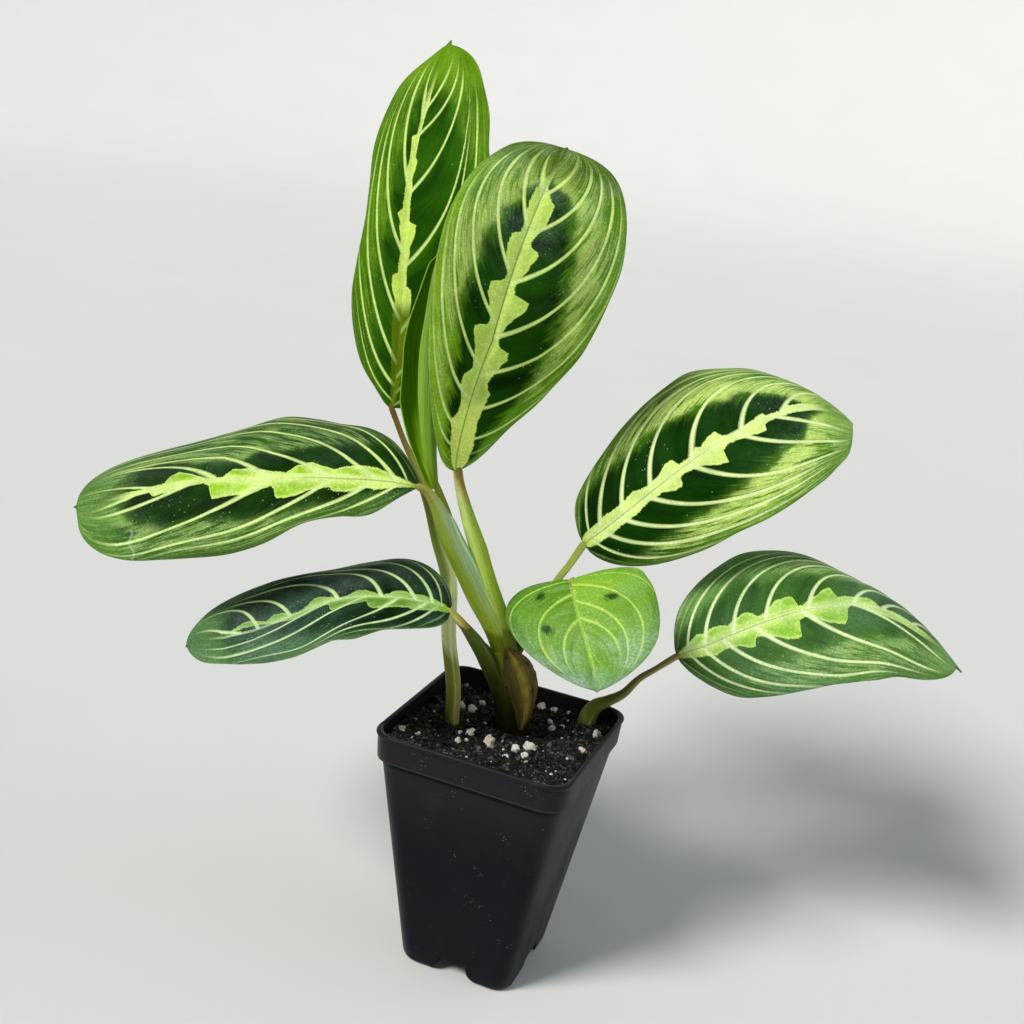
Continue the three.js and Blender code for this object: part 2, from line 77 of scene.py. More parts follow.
# Stalks: x, y, z and radius at each point, up to the leaf's base. They start about 10 mm deep in the
# soil, or inside the clump.
STALKS = dict(
    clump=[
        (4, 6, 70, 5.0), (2.7, 4.2, 80, 5.4), (1, 1, 94, 5.2), (-1.6, -3.5, 109, 4.6), (-3, -5.6, 114, 3.6),
    ],
    back=[
        (-15, -5, 71, 2.3), (-17, -4, 80, 2.4), (-19, -1, 92, 2.3), (-24, 2, 108, 2.3),
        (-28, 5.5, 127, 2.4), (-33.5, 6.5, 139, 2.4), (-39, 7.5, 151, 2.0), (-45.5, 8.5, 161, 1.2),
        (-51, 9, 169, 0.95), (-55, 10, 175, 0.9), (-57, 10, 178.5, 0.95),
    ],
    front=[
        (1, 0, 95, 4.0), (-2, -5, 116, 3.2), (-8.5, -7, 132, 2.9), (-15, -8.3, 147.5, 2.6),
        (-20, -9.5, 159.5, 1.9), (-22, -9.8, 165, 1.5), (-23, -10, 169, 1.5),
    ],
    left_large=[
        (0, 2, 92, 4.2), (-3.3, -5.9, 116, 3.6), (-10.5, -9.4, 129, 3.6), (-19, -13.7, 145, 3.4),
        (-23, -15.5, 153, 2.9), (-26.5, -17.4, 160, 1.9), (-29, -18.8, 163, 1.3), (-31, -20, 164, 1.15),
    ],
    sheath_tip=[
        (-21, -12.5, 147, 2.2), (-24.8, -12.4, 156, 1.8), (-27.4, -12.8, 162, 1.2),
        (-28.7, -13.1, 165.8, 0.3),
    ],
    left_low=[
        (0.5, 8, 70, 3.0), (-1, 7.5, 80, 3.1), (-2.5, 2, 92, 3.0), (-5, -7.5, 107, 2.8),
        (-8.3, -15, 117.5, 2.2), (-11, -20, 124, 1.4), (-15, -22, 128, 1.2),
    ],
    right_high=[
        (-1.5, -3, 108, 3.0), (0.2, 0.5, 115, 1.8), (2.2, 6, 120, 1.4), (4, 12, 126, 1.3),
        (6, 16, 132.5, 1.2), (8, 20, 137, 1.2), (10, 26, 143, 1.3),
    ],
    right_low=[
        (19, 25.5, 73, 2.7), (20.5, 26, 83, 3.0), (22.5, 26.5, 87.3, 2.5), (26, 27.5, 90, 1.9),
        (30.5, 29, 93.4, 1.5), (35, 30, 100, 1.15), (40, 30, 105, 1.0), (46, 31, 111, 1.1),
    ],
    right_small=[
        (-1, -3, 108, 2.6), (1.8, 0, 114.5, 1.9), (5, 5, 122, 1.4), (8.5, 11, 129, 1.1),
        (11, 15, 134, 0.8),
    ],
)
STEMS = dict(
    stem_clump=("clump", "front", "left_large", "sheath_tip", "left_low", "right_high", "right_small"),
    stem_back=("back",), stem_right=("right_low",),
)
# The pulvinus, the swollen joint between a stalk and its blade: its length, how far the stalk reaches
# into it, and how far it reaches into the blade.
PULVINUS, STALK_IN_PULVINUS, PULVINUS_IN_BLADE = 7, 1.8, 1.2

# Every blade's mesh, and half its thickness at the margin and at the midrib.
BLADE = dict(rows=190, tip_rows=7, columns=109, half_edge=0.2, half_middle=0.32)

# Leaf blades. The surface is as in the solids. spine: four points of the midrib's Bezier curve. face:
# azimuth and elevation of the way that the upper side faces, at the base and at the end. half: the half
# widths, left and right. ends: how pointed the base and the end are. fold and curl: how steeply each
# half leaves the midrib, and how much it turns from there to the margin. wave: the height, number and
# start of the margin's waves. trim: factors on the width at even steps, left and right. tip: the length
# of the little point at the end.
# The markings lie over s, the part of the midrib's length from the base, and p, the part of the way
# from the midrib to an even outline. rib: where the drawn midrib runs, with the right side positive.
# veins: for each side vein of the left and right half, where it leaves the midrib and how slowly it
# bends away from there. band: how far the pale band reaches, left and right. reach: how far out the
# dark patches reach. spots: dark blemishes, as s, p, length and width. scar: a pale scratch across the
# blade, at one s and between two p.
LEAVES = dict(
    leaf_upright_back=dict(
        tip=1.8, stalk="back",
        spine=[(-57, 10, 178.5), (-59, 20, 217), (-71.5, 22.5, 254.5), (-65.5, 43.5, 293.2)],
        face=[(177, 4), (193, 16)], half=(19, 32), ends=(0.48, 0.52), fold=(5, 10), curl=(-18, -14),
        wave=(0.6, 2.5, 0.2),
        trim=[
            (0.6, 1.03, 1.13, 1.1, 0.96, 0.87, 0.91, 1.02, 1.04, 1.05, 0.6),
            (1, 1, 1, 1, 1, 1, 1, 0.98, 1.03, 1.05, 1.2),
        ],
        rib=[(0, 0), (1, 0)],
        veins=[
            [(.02, .03), (.06, .07), (.12, .155), (.235, .23), (.41, .26), (.58, .42), (.78, .6)],
            [(.08, .2), (.2, .27), (.375, .2), (.575, .23), (.735, .19), (.8, .3)],
        ],
        band=[
            [(0, .1), (.15, .16), (.22, .16), (.3, .14), (.33, .2), (.355, .21), (.365, .09), (.42, .07),
             (.46, .09), (.5, .13), (.525, .18), (.535, .08), (.6, .08), (.7, .09), (.73, .14), (.74, .02),
             (.8, 0)],
            [(0, .12), (.29, .13), (.32, .12), (.325, .06), (.38, .05), (.415, .08), (.43, .07), (.46, .12),
             (.49, .14), (.5, .04), (.58, .03), (.62, .02), (.65, .06), (.67, .05), (.675, 0), (.8, .05)],
        ],
        reach=[
            [(.05, .6), (.2, .5), (.35, .45), (.5, .32), (.65, .3), (.8, .25), (.9, .15), (.93, 0)],
            [(0, 1), (.5, .85), (.7, .7), (.8, .55), (.88, .3), (.92, 0)],
        ],
    ),
    leaf_upright_front=dict(
        tip=1.0, stalk="front",
        spine=[(-23, -10, 169), (-16, -14, 203), (-19, 0, 238), (-19, 39, 266)],
        face=[(115, -10), (174, 38)], half=(25, 33), ends=(0.52, 0.41), fold=(14, 4), curl=(-10, -19),
        wave=(0.5, 2, 0.1),
        trim=[
            (1, 1, 1, 1, 1, 1, 1, 1, 1.02, 1.06, 1.2),
            (0.9, 0.87, 0.97, 0.97, 0.99, 0.98, 0.98, 1, 1, 1.02, 1.08),
        ],
        rib=[(0, -.3), (.36, 0), (1, 0)],
        veins=[
            [(.07, .02), (.118, .035), (.2, .06), (.285, .092), (.405, .137), (.54, .22), (.685, .34),
             (.8, .5)],
            [(.083, .026), (.165, .062), (.265, .098), (.37, .16), (.52, .22), (.67, .245), (.8, .35)],
        ],
        band=[
            [(0, .6), (.11, .57), (.15, .57), (.155, .5), (.17, .42), (.2, .38), (.24, .42), (.26, .4),
             (.28, .25), (.33, .25), (.36, .33), (.385, .34), (.395, .16), (.41, .125), (.44, .18),
             (.48, .255), (.505, .25), (.52, .1), (.54, .07), (.61, .18), (.655, .18), (.665, .09),
             (.69, .075), (.77, .13), (.8, .13), (.86, .1), (.9, 0)],
            [(0, .3), (.115, .13), (.14, .09), (.19, .13), (.225, .15), (.235, .09), (.25, .07), (.3, .16),
             (.325, .22), (.345, .2), (.35, .08), (.365, .06), (.415, .1), (.45, .19), (.47, .23),
             (.49, .235), (.495, .08), (.515, .06), (.535, .07), (.575, .13), (.63, .185), (.635, .1),
             (.65, .065), (.72, .15), (.785, .17), (.79, .13), (.85, 0)],
        ],
        reach=[
            [(.05, .6), (.11, .75), (.2, .68), (.3, .62), (.48, .57), (.55, .47), (.72, .38), (.74, .25),
             (.82, .24), (.84, 0)],
            [(.05, .45), (.12, .5), (.2, .62), (.45, .62), (.55, .53), (.65, .5), (.72, .42), (.8, .36),
             (.84, .2), (.86, 0)],
        ],
    ),
    leaf_left_large=dict(
        tip=0.9, scar=(0.845, -0.95, -0.6), stalk="left_large",
        spine=[(-31, -20, 164), (-68, -29, 167), (-99, -27, 152), (-133, -50, 141)],
        face=[(168, 48), (150, 75)], half=(26, 45), ends=(0.7, 0.28), fold=(-4, -4), curl=(-27, -26),
        wave=(1.2, 2.5, 0.5),
        trim=[
            (0.7, 1.14, 0.96, 0.94, 1.05, 1.06, 1.07, 1.06, 1, 0.95, 0.94),
            (1, 1.1, 1.05, 1, 1.06, 1.08, 0.95, 1, 1.06, 1.03, 0.98),
        ],
        rib=[(0, -.02), (.2, -.1), (.45, -.08), (.6, .03), (1, 0)],
        veins=[
            [(.05, .045), (.12, .088), (.245, .12), (.43, .2), (.665, .6), (.83, .5)],
            [(.03, .035), (.055, .11), (.12, .23), (.235, .49), (.4, .6), (.6, .4), (.76, .9)],
        ],
        band=[
            [(0, .2), (.08, .35), (.12, .4), (.14, .33), (.18, .42), (.235, .4), (.24, .33), (.26, .32),
             (.31, .35), (.345, .44), (.4, .44), (.405, .3), (.42, .22), (.45, .26), (.49, .33), (.52, .29),
             (.6, .3), (.61, .1), (.63, .02), (.68, .02), (.7, .06), (.785, .09), (.79, 0), (.83, .02),
             (.86, .1)],
            [(0, .1), (.12, .2), (.18, .18), (.215, .12), (.24, .05), (.32, .14), (.36, .1), (.38, 0),
             (.42, .02), (.49, .09), (.55, .11), (.575, .03), (.62, .04), (.66, .1), (.72, .2), (.74, .15),
             (.75, .07), (.85, .05)],
        ],
        reach=[
            [(.05, .6), (.2, .6), (.3, .68), (.45, .68), (.6, .6), (.72, .58), (.82, .55), (.88, .3),
             (.9, 0)],
            [(.08, .95), (.16, .7), (.24, .45), (.33, .38), (.42, .3), (.5, .34), (.52, .2), (.6, .2),
             (.7, .28), (.78, .4), (.88, .4), (.92, 0)],
        ],
    ),
    leaf_left_low=dict(
        tip=0.5, stalk="left_low",
        spine=[(-15, -22, 128), (-34, -30, 139), (-64, -31, 116), (-89, -51, 106)],
        face=[(143, 82), (137, 74)], half=(22, 26), ends=(0.34, 0.49), fold=(6, 7), curl=(-17, -16),
        wave=(0.9, 2.5, 0.4),
        trim=[
            (1, 0.93, 0.92, 1.12, 1.01, 0.99, 1.04, 1.08, 1.01, 0.93, 1.1),
            (1, 1, 0.97, 0.95, 0.95, 0.86, 0.86, 0.97, 1.05, 1, 0.8),
        ],
        rib=[(0, .05), (.12, -.1), (.25, -.06), (.35, .02), (.45, .05), (.55, -.02), (.65, -.12),
             (.75, -.17), (.87, -.1), (.95, .1)],
        veins=[
            [(.05, .03), (.085, .065), (.19, .08), (.315, .26), (.46, .65)],
            [(.04, .03), (.07, .072), (.13, .14), (.255, .13), (.425, .135), (.605, .11), (.73, .075),
             (.8, .4)],
        ],
        band=[
            [(0, .3), (.1, .45), (.15, .4), (.19, .43), (.27, .43), (.29, .35), (.3, .22), (.35, .22),
             (.44, .25), (.45, .1), (.47, .06), (.5, .1), (.55, .2), (.6, .22), (.66, .14), (.75, .04),
             (.84, 0)],
            [(0, .1), (.13, .05), (.18, .09), (.21, .07), (.23, 0), (.26, 0), (.32, .12), (.35, .14),
             (.38, .08), (.42, .06), (.48, .15), (.52, .16), (.54, .05), (.58, -.02), (.61, -.02),
             (.63, .05), (.67, .07), (.69, 0), (.7, -.05), (.76, .12), (.8, .08), (.85, 0)],
        ],
        reach=[
            [(0, .9), (.3, .9), (.6, .6), (.7, .5), (.88, .35), (.9, 0)],
            [(0, .8), (.45, .75), (.6, 1), (.8, .9), (.85, .3), (.9, 0)],
        ],
    ),
    leaf_right_high=dict(
        tip=0.6, stalk="right_high",
        spine=[(10, 26, 143), (32, 31, 166), (58, 53, 209), (82, 72, 191)],
        face=[(150, 38), (136, 68)], half=(34, 29), ends=(0.47, 0.36), fold=(-4, 0), curl=(-27, -23),
        wave=(0.6, 2, 0.3),
        trim=[
            (1.1, 0.92, 0.87, 0.89, 0.92, 0.97, 1.06, 1.05, 1.06, 0.85, 0.63),
            (1, 1.02, 1.02, 1.02, 1, 1.02, 1.03, 1.04, 1.06, 1.05, 1.1),
        ],
        rib=[(0, 0), (1, 0)],
        veins=[
            [(.03, .033), (.068, .095), (.155, .135), (.265, .16), (.42, .195), (.6, .215), (.74, .27)],
            [(.03, .028), (.072, .07), (.14, .115), (.245, .15), (.405, .15), (.575, .22), (.7, .37)],
        ],
        band=[
            [(0, .3), (.06, .18), (.11, .17), (.12, .15), (.15, .13), (.225, .14), (.24, .1), (.27, .08),
             (.315, .09), (.35, .14), (.375, .14), (.38, .05), (.43, .04), (.455, .09), (.47, .06),
             (.5, .11), (.53, .12), (.54, .04), (.57, .01), (.6, .01), (.65, .03), (.67, .06), (.685, .05),
             (.69, .02), (.75, .02), (.77, .07)],
            [(0, .3), (.06, .2), (.11, .16), (.13, .14), (.2, .12), (.24, .09), (.29, .1), (.33, .18),
             (.355, .18), (.36, .09), (.38, .07), (.435, .12), (.48, .22), (.51, .26), (.515, .12),
             (.54, .08), (.6, .12), (.64, .16), (.665, .17), (.67, .09), (.69, .07), (.75, .06),
             (.85, .05)],
        ],
        reach=[
            [(.05, .8), (.15, .68), (.25, .55), (.45, .5), (.55, .48), (.62, .4), (.7, .35), (.75, .25),
             (.8, .15), (.83, 0)],
            [(.05, .85), (.15, .7), (.3, .6), (.45, .6), (.6, .58), (.68, .48), (.77, .45), (.8, .22),
             (.86, .15), (.87, 0)],
        ],
    ),
    leaf_right_small=dict(
        tip=0.5, stalk="right_small",
        spots=[(0.17, 0.54, 0.055, 0.09), (0.29, -0.45, 0.045, 0.14), (0.51, 0.53, 0.065, 0.1)],
        spine=[(11, 15, 134), (21, -1, 129), (28, -12, 125), (36, -27, 118)],
        face=[(169, 43), (158, 34)], half=(24, 24), ends=(0.34, 0.59), fold=(14, 12), curl=(-9, -10),
        wave=(0.4, 2, 0),
        trim=[
            (1.1, 1.1, 1.03, 1.01, 1, 1.01, 1.03, 1.06, 1.04, 0.95, 0.8),
            (1, 1, 1, 1, 1, 1, 1, 1, 1, 1, 1),
        ],
        rib=[(0, .05), (.45, .05), (1, 0)],
        veins=[
            [(.01, .03), (.05, .205), (.22, .39), (.38, .45)],
            [(.015, .055), (.155, .27), (.4, .5)],
        ],
        band=[[(0, 0), (1, 0)], [(0, 0), (1, 0)]],
        reach=[[(0, 0), (1, 0)], [(0, 0), (1, 0)]],
    ),
    leaf_right_low=dict(
        tip=2.6, stalk="right_low",
        spine=[(46, 31, 111), (75, 26, 136), (98, 44, 156), (132, 52, 124)],
        face=[(148, 35), (152, 84)], half=(30, 29), ends=(0.49, 0.51), fold=(-6, -4), curl=(-29, -28),
        wave=(0.7, 2.5, 0.1),
        trim=[
            (1.2, 1.08, 1.07, 1.11, 1.06, 1.01, 0.93, 0.87, 0.82, 0.85, 0.9),
            (1, 1.07, 0.99, 0.95, 0.93, 0.92, 0.96, 1.01, 0.98, 1, 1),
        ],
        rib=[(0, 0), (.1, .05), (.5, .05), (.7, 0), (1, 0)],
        veins=[
            [(.045, .045), (.11, .075), (.21, .1), (.32, .11), (.455, .115), (.595, .14), (.69, .2),
             (.8, .2)],
            [(.045, .042), (.1, .067), (.17, .113), (.28, .158), (.435, .22), (.6, .7)],
        ],
        band=[
            [(0, .1), (.1, .2), (.12, .15), (.15, .17), (.18, .13), (.2, .08), (.25, .15), (.27, .15),
             (.29, .1), (.3, .03), (.32, .05), (.37, .16), (.42, .16), (.425, .02), (.44, 0), (.46, .05),
             (.5, .14), (.52, .21), (.54, .23), (.545, .1), (.55, .06), (.61, .1), (.65, .13), (.68, .03)],
            [(0, .15), (.13, .25), (.17, .2), (.21, .22), (.25, .3), (.265, .3), (.27, .22), (.28, .19),
             (.34, .27), (.37, .33), (.415, .36), (.418, .17), (.43, .14), (.45, .14), (.51, .24),
             (.54, .28), (.57, .29), (.573, .15), (.58, .06), (.6, .03), (.65, .1), (.75, .13)],
        ],
        reach=[
            [(0, .5), (.12, .55), (.25, .6), (.4, .5), (.55, .4), (.7, .4), (.9, .3), (.93, 0)],
            [(0, .6), (.15, .55), (.25, .55), (.45, .5), (.6, .47), (.75, .4), (.76, .3), (.9, .2),
             (.93, 0)],
        ],
    ),
)

# The rolled leaf: x, y, z and radius along its middle, the azimuth of its free edge and how far it is
# rolled from there, how many radii its free and its tucked edge stand out, and its mesh.
ROLLED = dict(
    path=[
        (-28.5, -13.1, 162.3, 0.9), (-30.4, -13, 166.5, 1.8), (-33.9, -10.8, 173, 3.0),
        (-38.7, -7, 187, 4.9), (-42, -3, 202, 4.6), (-43, 0, 214, 3.4), (-43.5, 2, 224, 2.0),
        (-43.5, 4, 231, 0.9),
    ],
    first_edge=235, turn=295, open=1.35, tucked=0.85, rows=170, columns=60, half_thickness=0.25,
)
# The dry sheath, a blade that is bent round the clump.
DRY_SHEATH = dict(
    spine=[(6.5, -3, 86), (10.5, -5.5, 95), (8.5, -6.5, 106), (0.5, -8.5, 114.5)],
    face=[(138, 5), (142, 15)], half=(6.8, 6.8), ends=(0.8, 0.62), fold=(-8, -8), curl=(-62, -62),
    wave=(0.4, 2, 0),
    trim=[
        (0.9, 0.85, 0.8, 0.84, 0.9, 0.96, 1, 1.02, 0.96, 0.9, 0.8),
        (0.7, 0.72, 0.78, 0.84, 0.92, 1, 1.06, 1.1, 1.06, 0.88, 0.7),
    ],
    rows=110, columns=61, half_thickness=0.14,
)

# The camera: where it stands, where it looks, which way its picture's right edge lies, its lens, and the
# nearest and farthest that it sees, in metres.
CAMERA = dict(
    place=(126.07, -373.94, 279.54), forward=(-0.32053, 0.89985, -0.29584),
    right=(0.92073, 0.36935, 0.12588), lens=46.64, sensor=36, nearest=0.01, farthest=50,
)
# The floor, in metres: how far it is flat, where and how high its wall ends, and its depth below the pot.
FLOOR = dict(flat=3.5, far=6.0, high=3.2, below=0.0004)
# Lights: the place that each shines from, its strength, its width and its colour.
SUNS = dict(
    key=((-0.5, -0.85, 1.0), 2.7, 18, (1.0, 0.985, 0.95)),
    side=((0.9, 0.15, 0.7), 0.5, 40, (0.55, 0.85, 1.0)),
)
SKY, SKY_STRENGTH = (0.86, 0.87, 0.88, 1), 0.2

pot_low, pot_high = (np.array(corner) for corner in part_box("pot"))
ORIGIN = np.array([(pot_low[0] + pot_high[0]) / 2, (pot_low[1] + pot_high[1]) / 2, pot_low[2]])

# ---------------------------------------------------------------- mesh helpers


def unit(v):
    return v / np.linalg.norm(v, axis=-1, keepdims=True)


def smooth(value, low, high):
    """A smooth rise from 0 at low to 1 at high."""
    t = np.clip((value - low) / (high - low), 0, 1)
    return t * t * (3 - 2 * t)


def polyline(points, s):
    x, y = zip(*points)
    return np.interp(s, x, y)


def add_object(name, data):
    made = bpy.data.objects.new(name, data)
    bpy.context.scene.collection.objects.link(made)
    return made


def strip(rows, count, columns, rect):
    """Quads between rows of count points, over the given columns, with their corners in a UV rectangle."""
    i = np.arange(rows - 1)[:, None]
    a, b = np.array(columns[:-1])[None], np.array(columns[1:])[None]
    quads = np.stack([i * count + a, i * count + b, (i + 1) * count + b, (i + 1) * count + a], -1)
    u0, v0, u1, v1 = rect
    u = u0 + (u1 - u0) * np.arange(len(columns)) / (len(columns) - 1)
    v = v0 + (v1 - v0) * np.arange(rows) / (rows - 1)
    low_u, low_v = np.broadcast_arrays(u[None, :-1], v[:-1, None])
    high_u, high_v = np.broadcast_arrays(u[None, 1:], v[1:, None])
    corners = np.stack([
        np.stack([low_u, low_v], -1), np.stack([high_u, low_v], -1),
        np.stack([high_u, high_v], -1), np.stack([low_u, high_v], -1),
    ], 2)
    return quads.reshape(-1, 4), corners.reshape(-1, 4, 2)


class Piece:
    """A mesh that is put together from parts, each with its own fields and material."""

    def __init__(self):
        self.points, self.faces, self.uvs, self.index = [], [], [], []
        self.fields, self.count = {}, 0

    def add(self, points, faces, uvs, material=0, **fields):
        """Adds a closed part, with its faces turned outwards and its fields on the points."""
        points = np.asarray(points, float).reshape(-1, 3)
        volume = 0.0
        for group in faces:
            a, b, c = (points[group[:, k]] for k in (0, 1, 2))
            volume += (np.cross(a, b) * c).sum()
            if group.shape[1] == 4:
                volume += (np.cross(a, c) * points[group[:, 3]]).sum()
        for group, corners in zip(faces, uvs):
            if volume < 0:
                group, corners = group[:, ::-1], corners[:, ::-1]
            self.faces += (group + self.count).tolist()
            self.uvs.append(corners.reshape(-1, 2))
            self.index += [material] * len(group)
        for name, value in fields.items():
            value = value.reshape((-1, 3) if value.shape[-1] == 3 else -1)
            self.fields.setdefault(name, []).append((self.count, value))
        self.points.append(points)
        self.count += len(points)

    def finish(self, name, materials, nodes=()):
        """Makes the object in place of the given nodes, with 0 where a part lacks a field."""
        mesh = bpy.data.meshes.new(name)
        points = np.concatenate(self.points) * MM + ORIGIN
        mesh.from_pydata(points.tolist(), [], self.faces)
        for material in materials:
            mesh.materials.append(material)
        mesh.polygons.foreach_set("material_index", self.index)
        layer = mesh.uv_layers.new(name="OFBake")
        layer.data.foreach_set("uv", np.concatenate(self.uvs).ravel())
        for field, held in self.fields.items():
            colour = held[0][1].ndim == 2
            full = np.zeros((self.count, 3) if colour else self.count)
            for first, value in held:
                full[first:first + len(value)] = value
            if colour:
                full = np.column_stack([full, np.ones(self.count)])
            made = mesh.attributes.new(field, "FLOAT_COLOR" if colour else "FLOAT", "POINT")
            made.data.foreach_set("color" if colour else "value", full.ravel())
        mesh.shade_smooth()
        shown = add_object(name, mesh)
        if nodes:
            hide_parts(*nodes)
        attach(shown, "root")


def tube(grid, rect):
    """Faces and UVs of a closed tube: rows of points round it, with a fan at each end."""
    rows, around = grid.shape[:2]
    points = np.concatenate([grid.reshape(-1, 3), grid[:1].mean(1), grid[-1:].mean(1)])
    quads, corners = strip(rows, around, [*range(around), 0], rect)
    hub = rows * around
    j = np.arange(around)
    after = (j + 1) % around
    last = (rows - 1) * around
    fans = np.concatenate([
        np.stack([np.full(around, hub), after, j], -1),
        np.stack([np.full(around, hub + 1), last + j, last + after], -1),
    ])
    corner = np.array([[rect[0], rect[1]], [rect[0] + 0.002, rect[1]], [rect[0], rect[1] + 0.002]])
    return points, (quads, fans), (corners, np.broadcast_to(corner, (2 * around, 3, 2)))


def with_ends(field):
    """A field on a tube's rows, with the values for the middles of its two ends."""
    return np.concatenate([field.reshape(-1, *field.shape[2:]), field[:1].mean(1), field[-1:].mean(1)])


# ---------------------------------------------------------------- shader helpers


def rgb(red, green, blue):
    """A colour given as it shows on screen, from 0 to 255."""
    def linear(c):
        c /= 255
        return c / 12.92 if c <= 0.04045 else ((c + 0.055) / 1.055) ** 2.4
    return (linear(red), linear(green), linear(blue), 1.0)


class Shader:
    """A material in the making: each call adds a node and returns its output."""

    def __init__(self, name, **sockets):
        self.material = bpy.data.materials.new(name)
        self.material.use_nodes = True
        self.tree = self.material.node_tree
        self.surface = self.tree.nodes["Principled BSDF"]
        for socket, value in sockets.items():
            self.surface.inputs[socket.replace("_", " ")].default_value = value

    def put(self, kind, values, output=0, **settings):
        node = self.tree.nodes.new("ShaderNode" + kind)
        for key, value in settings.items():
            setattr(node, key, value)
        for key, value in values.items():
            if isinstance(value, bpy.types.NodeSocket):
                self.tree.links.new(value, node.inputs[key])
            else:
                node.inputs[key].default_value = value
        return node.outputs[output]

    def math(self, operation, *values):
        return self.put("Math", dict(enumerate(values)), operation=operation)

    def add(self, a, b):
        return self.math("ADD", a, b)

    def times(self, a, b):
        return self.math("MULTIPLY", a, b)

    def field(self, name, output="Fac"):
        return self.put("Attribute", {}, output, attribute_name=name)

    def step(self, value, low, high, least=0.0, most=1.0):
        """A smooth rise from least, where value is low, to most, where it is high."""
        ends = {"Value": value, "From Min": low, "From Max": high, "To Min": least, "To Max": most}
        return self.put("MapRange", ends, interpolation_type="SMOOTHSTEP")

    def blend(self, factor, a, b, kind="MIX"):
        """The colour a where factor is 0, and b where it is 1."""
        return self.put("Mix", {0: factor, 6: a, 7: b}, 2, data_type="RGBA", blend_type=kind)

    def brighter(self, colour, scale):
        return self.put("VectorMath", {0: colour, "Scale": scale}, operation="SCALE")

    def join(self, x, y, z=0.0):
        return self.put("CombineXYZ", {0: x, 1: y, 2: z})

    def place(self):
        return self.put("TexCoord", {}, "Object")

    def noise(self, vector, scale, detail=2.0, roughness=0.5, output=0):
        values = {"Vector": vector, "Scale": scale, "Detail": detail, "Roughness": roughness}
        return self.put("TexNoise", values, output)

    def cells(self, vector, scale, output="Distance"):
        return self.put("TexVoronoi", {"Vector": vector, "Scale": scale}, output)

    def end(self, colour, roughness, height=None, distance=0.0001, strength=1.0):
        """Links the colour, roughness and bump height to the surface and returns the material."""
        self.tree.links.new(colour, self.surface.inputs["Base Color"])
        self.tree.links.new(roughness, self.surface.inputs["Roughness"])
        if height is not None:
            values = {"Height": height, "Distance": distance, "Strength": strength}
            self.tree.links.new(self.put("Bump", values), self.surface.inputs["Normal"])
        return self.material


# ---------------------------------------------------------------- leaf material

WHITE = rgb(235, 240, 232)

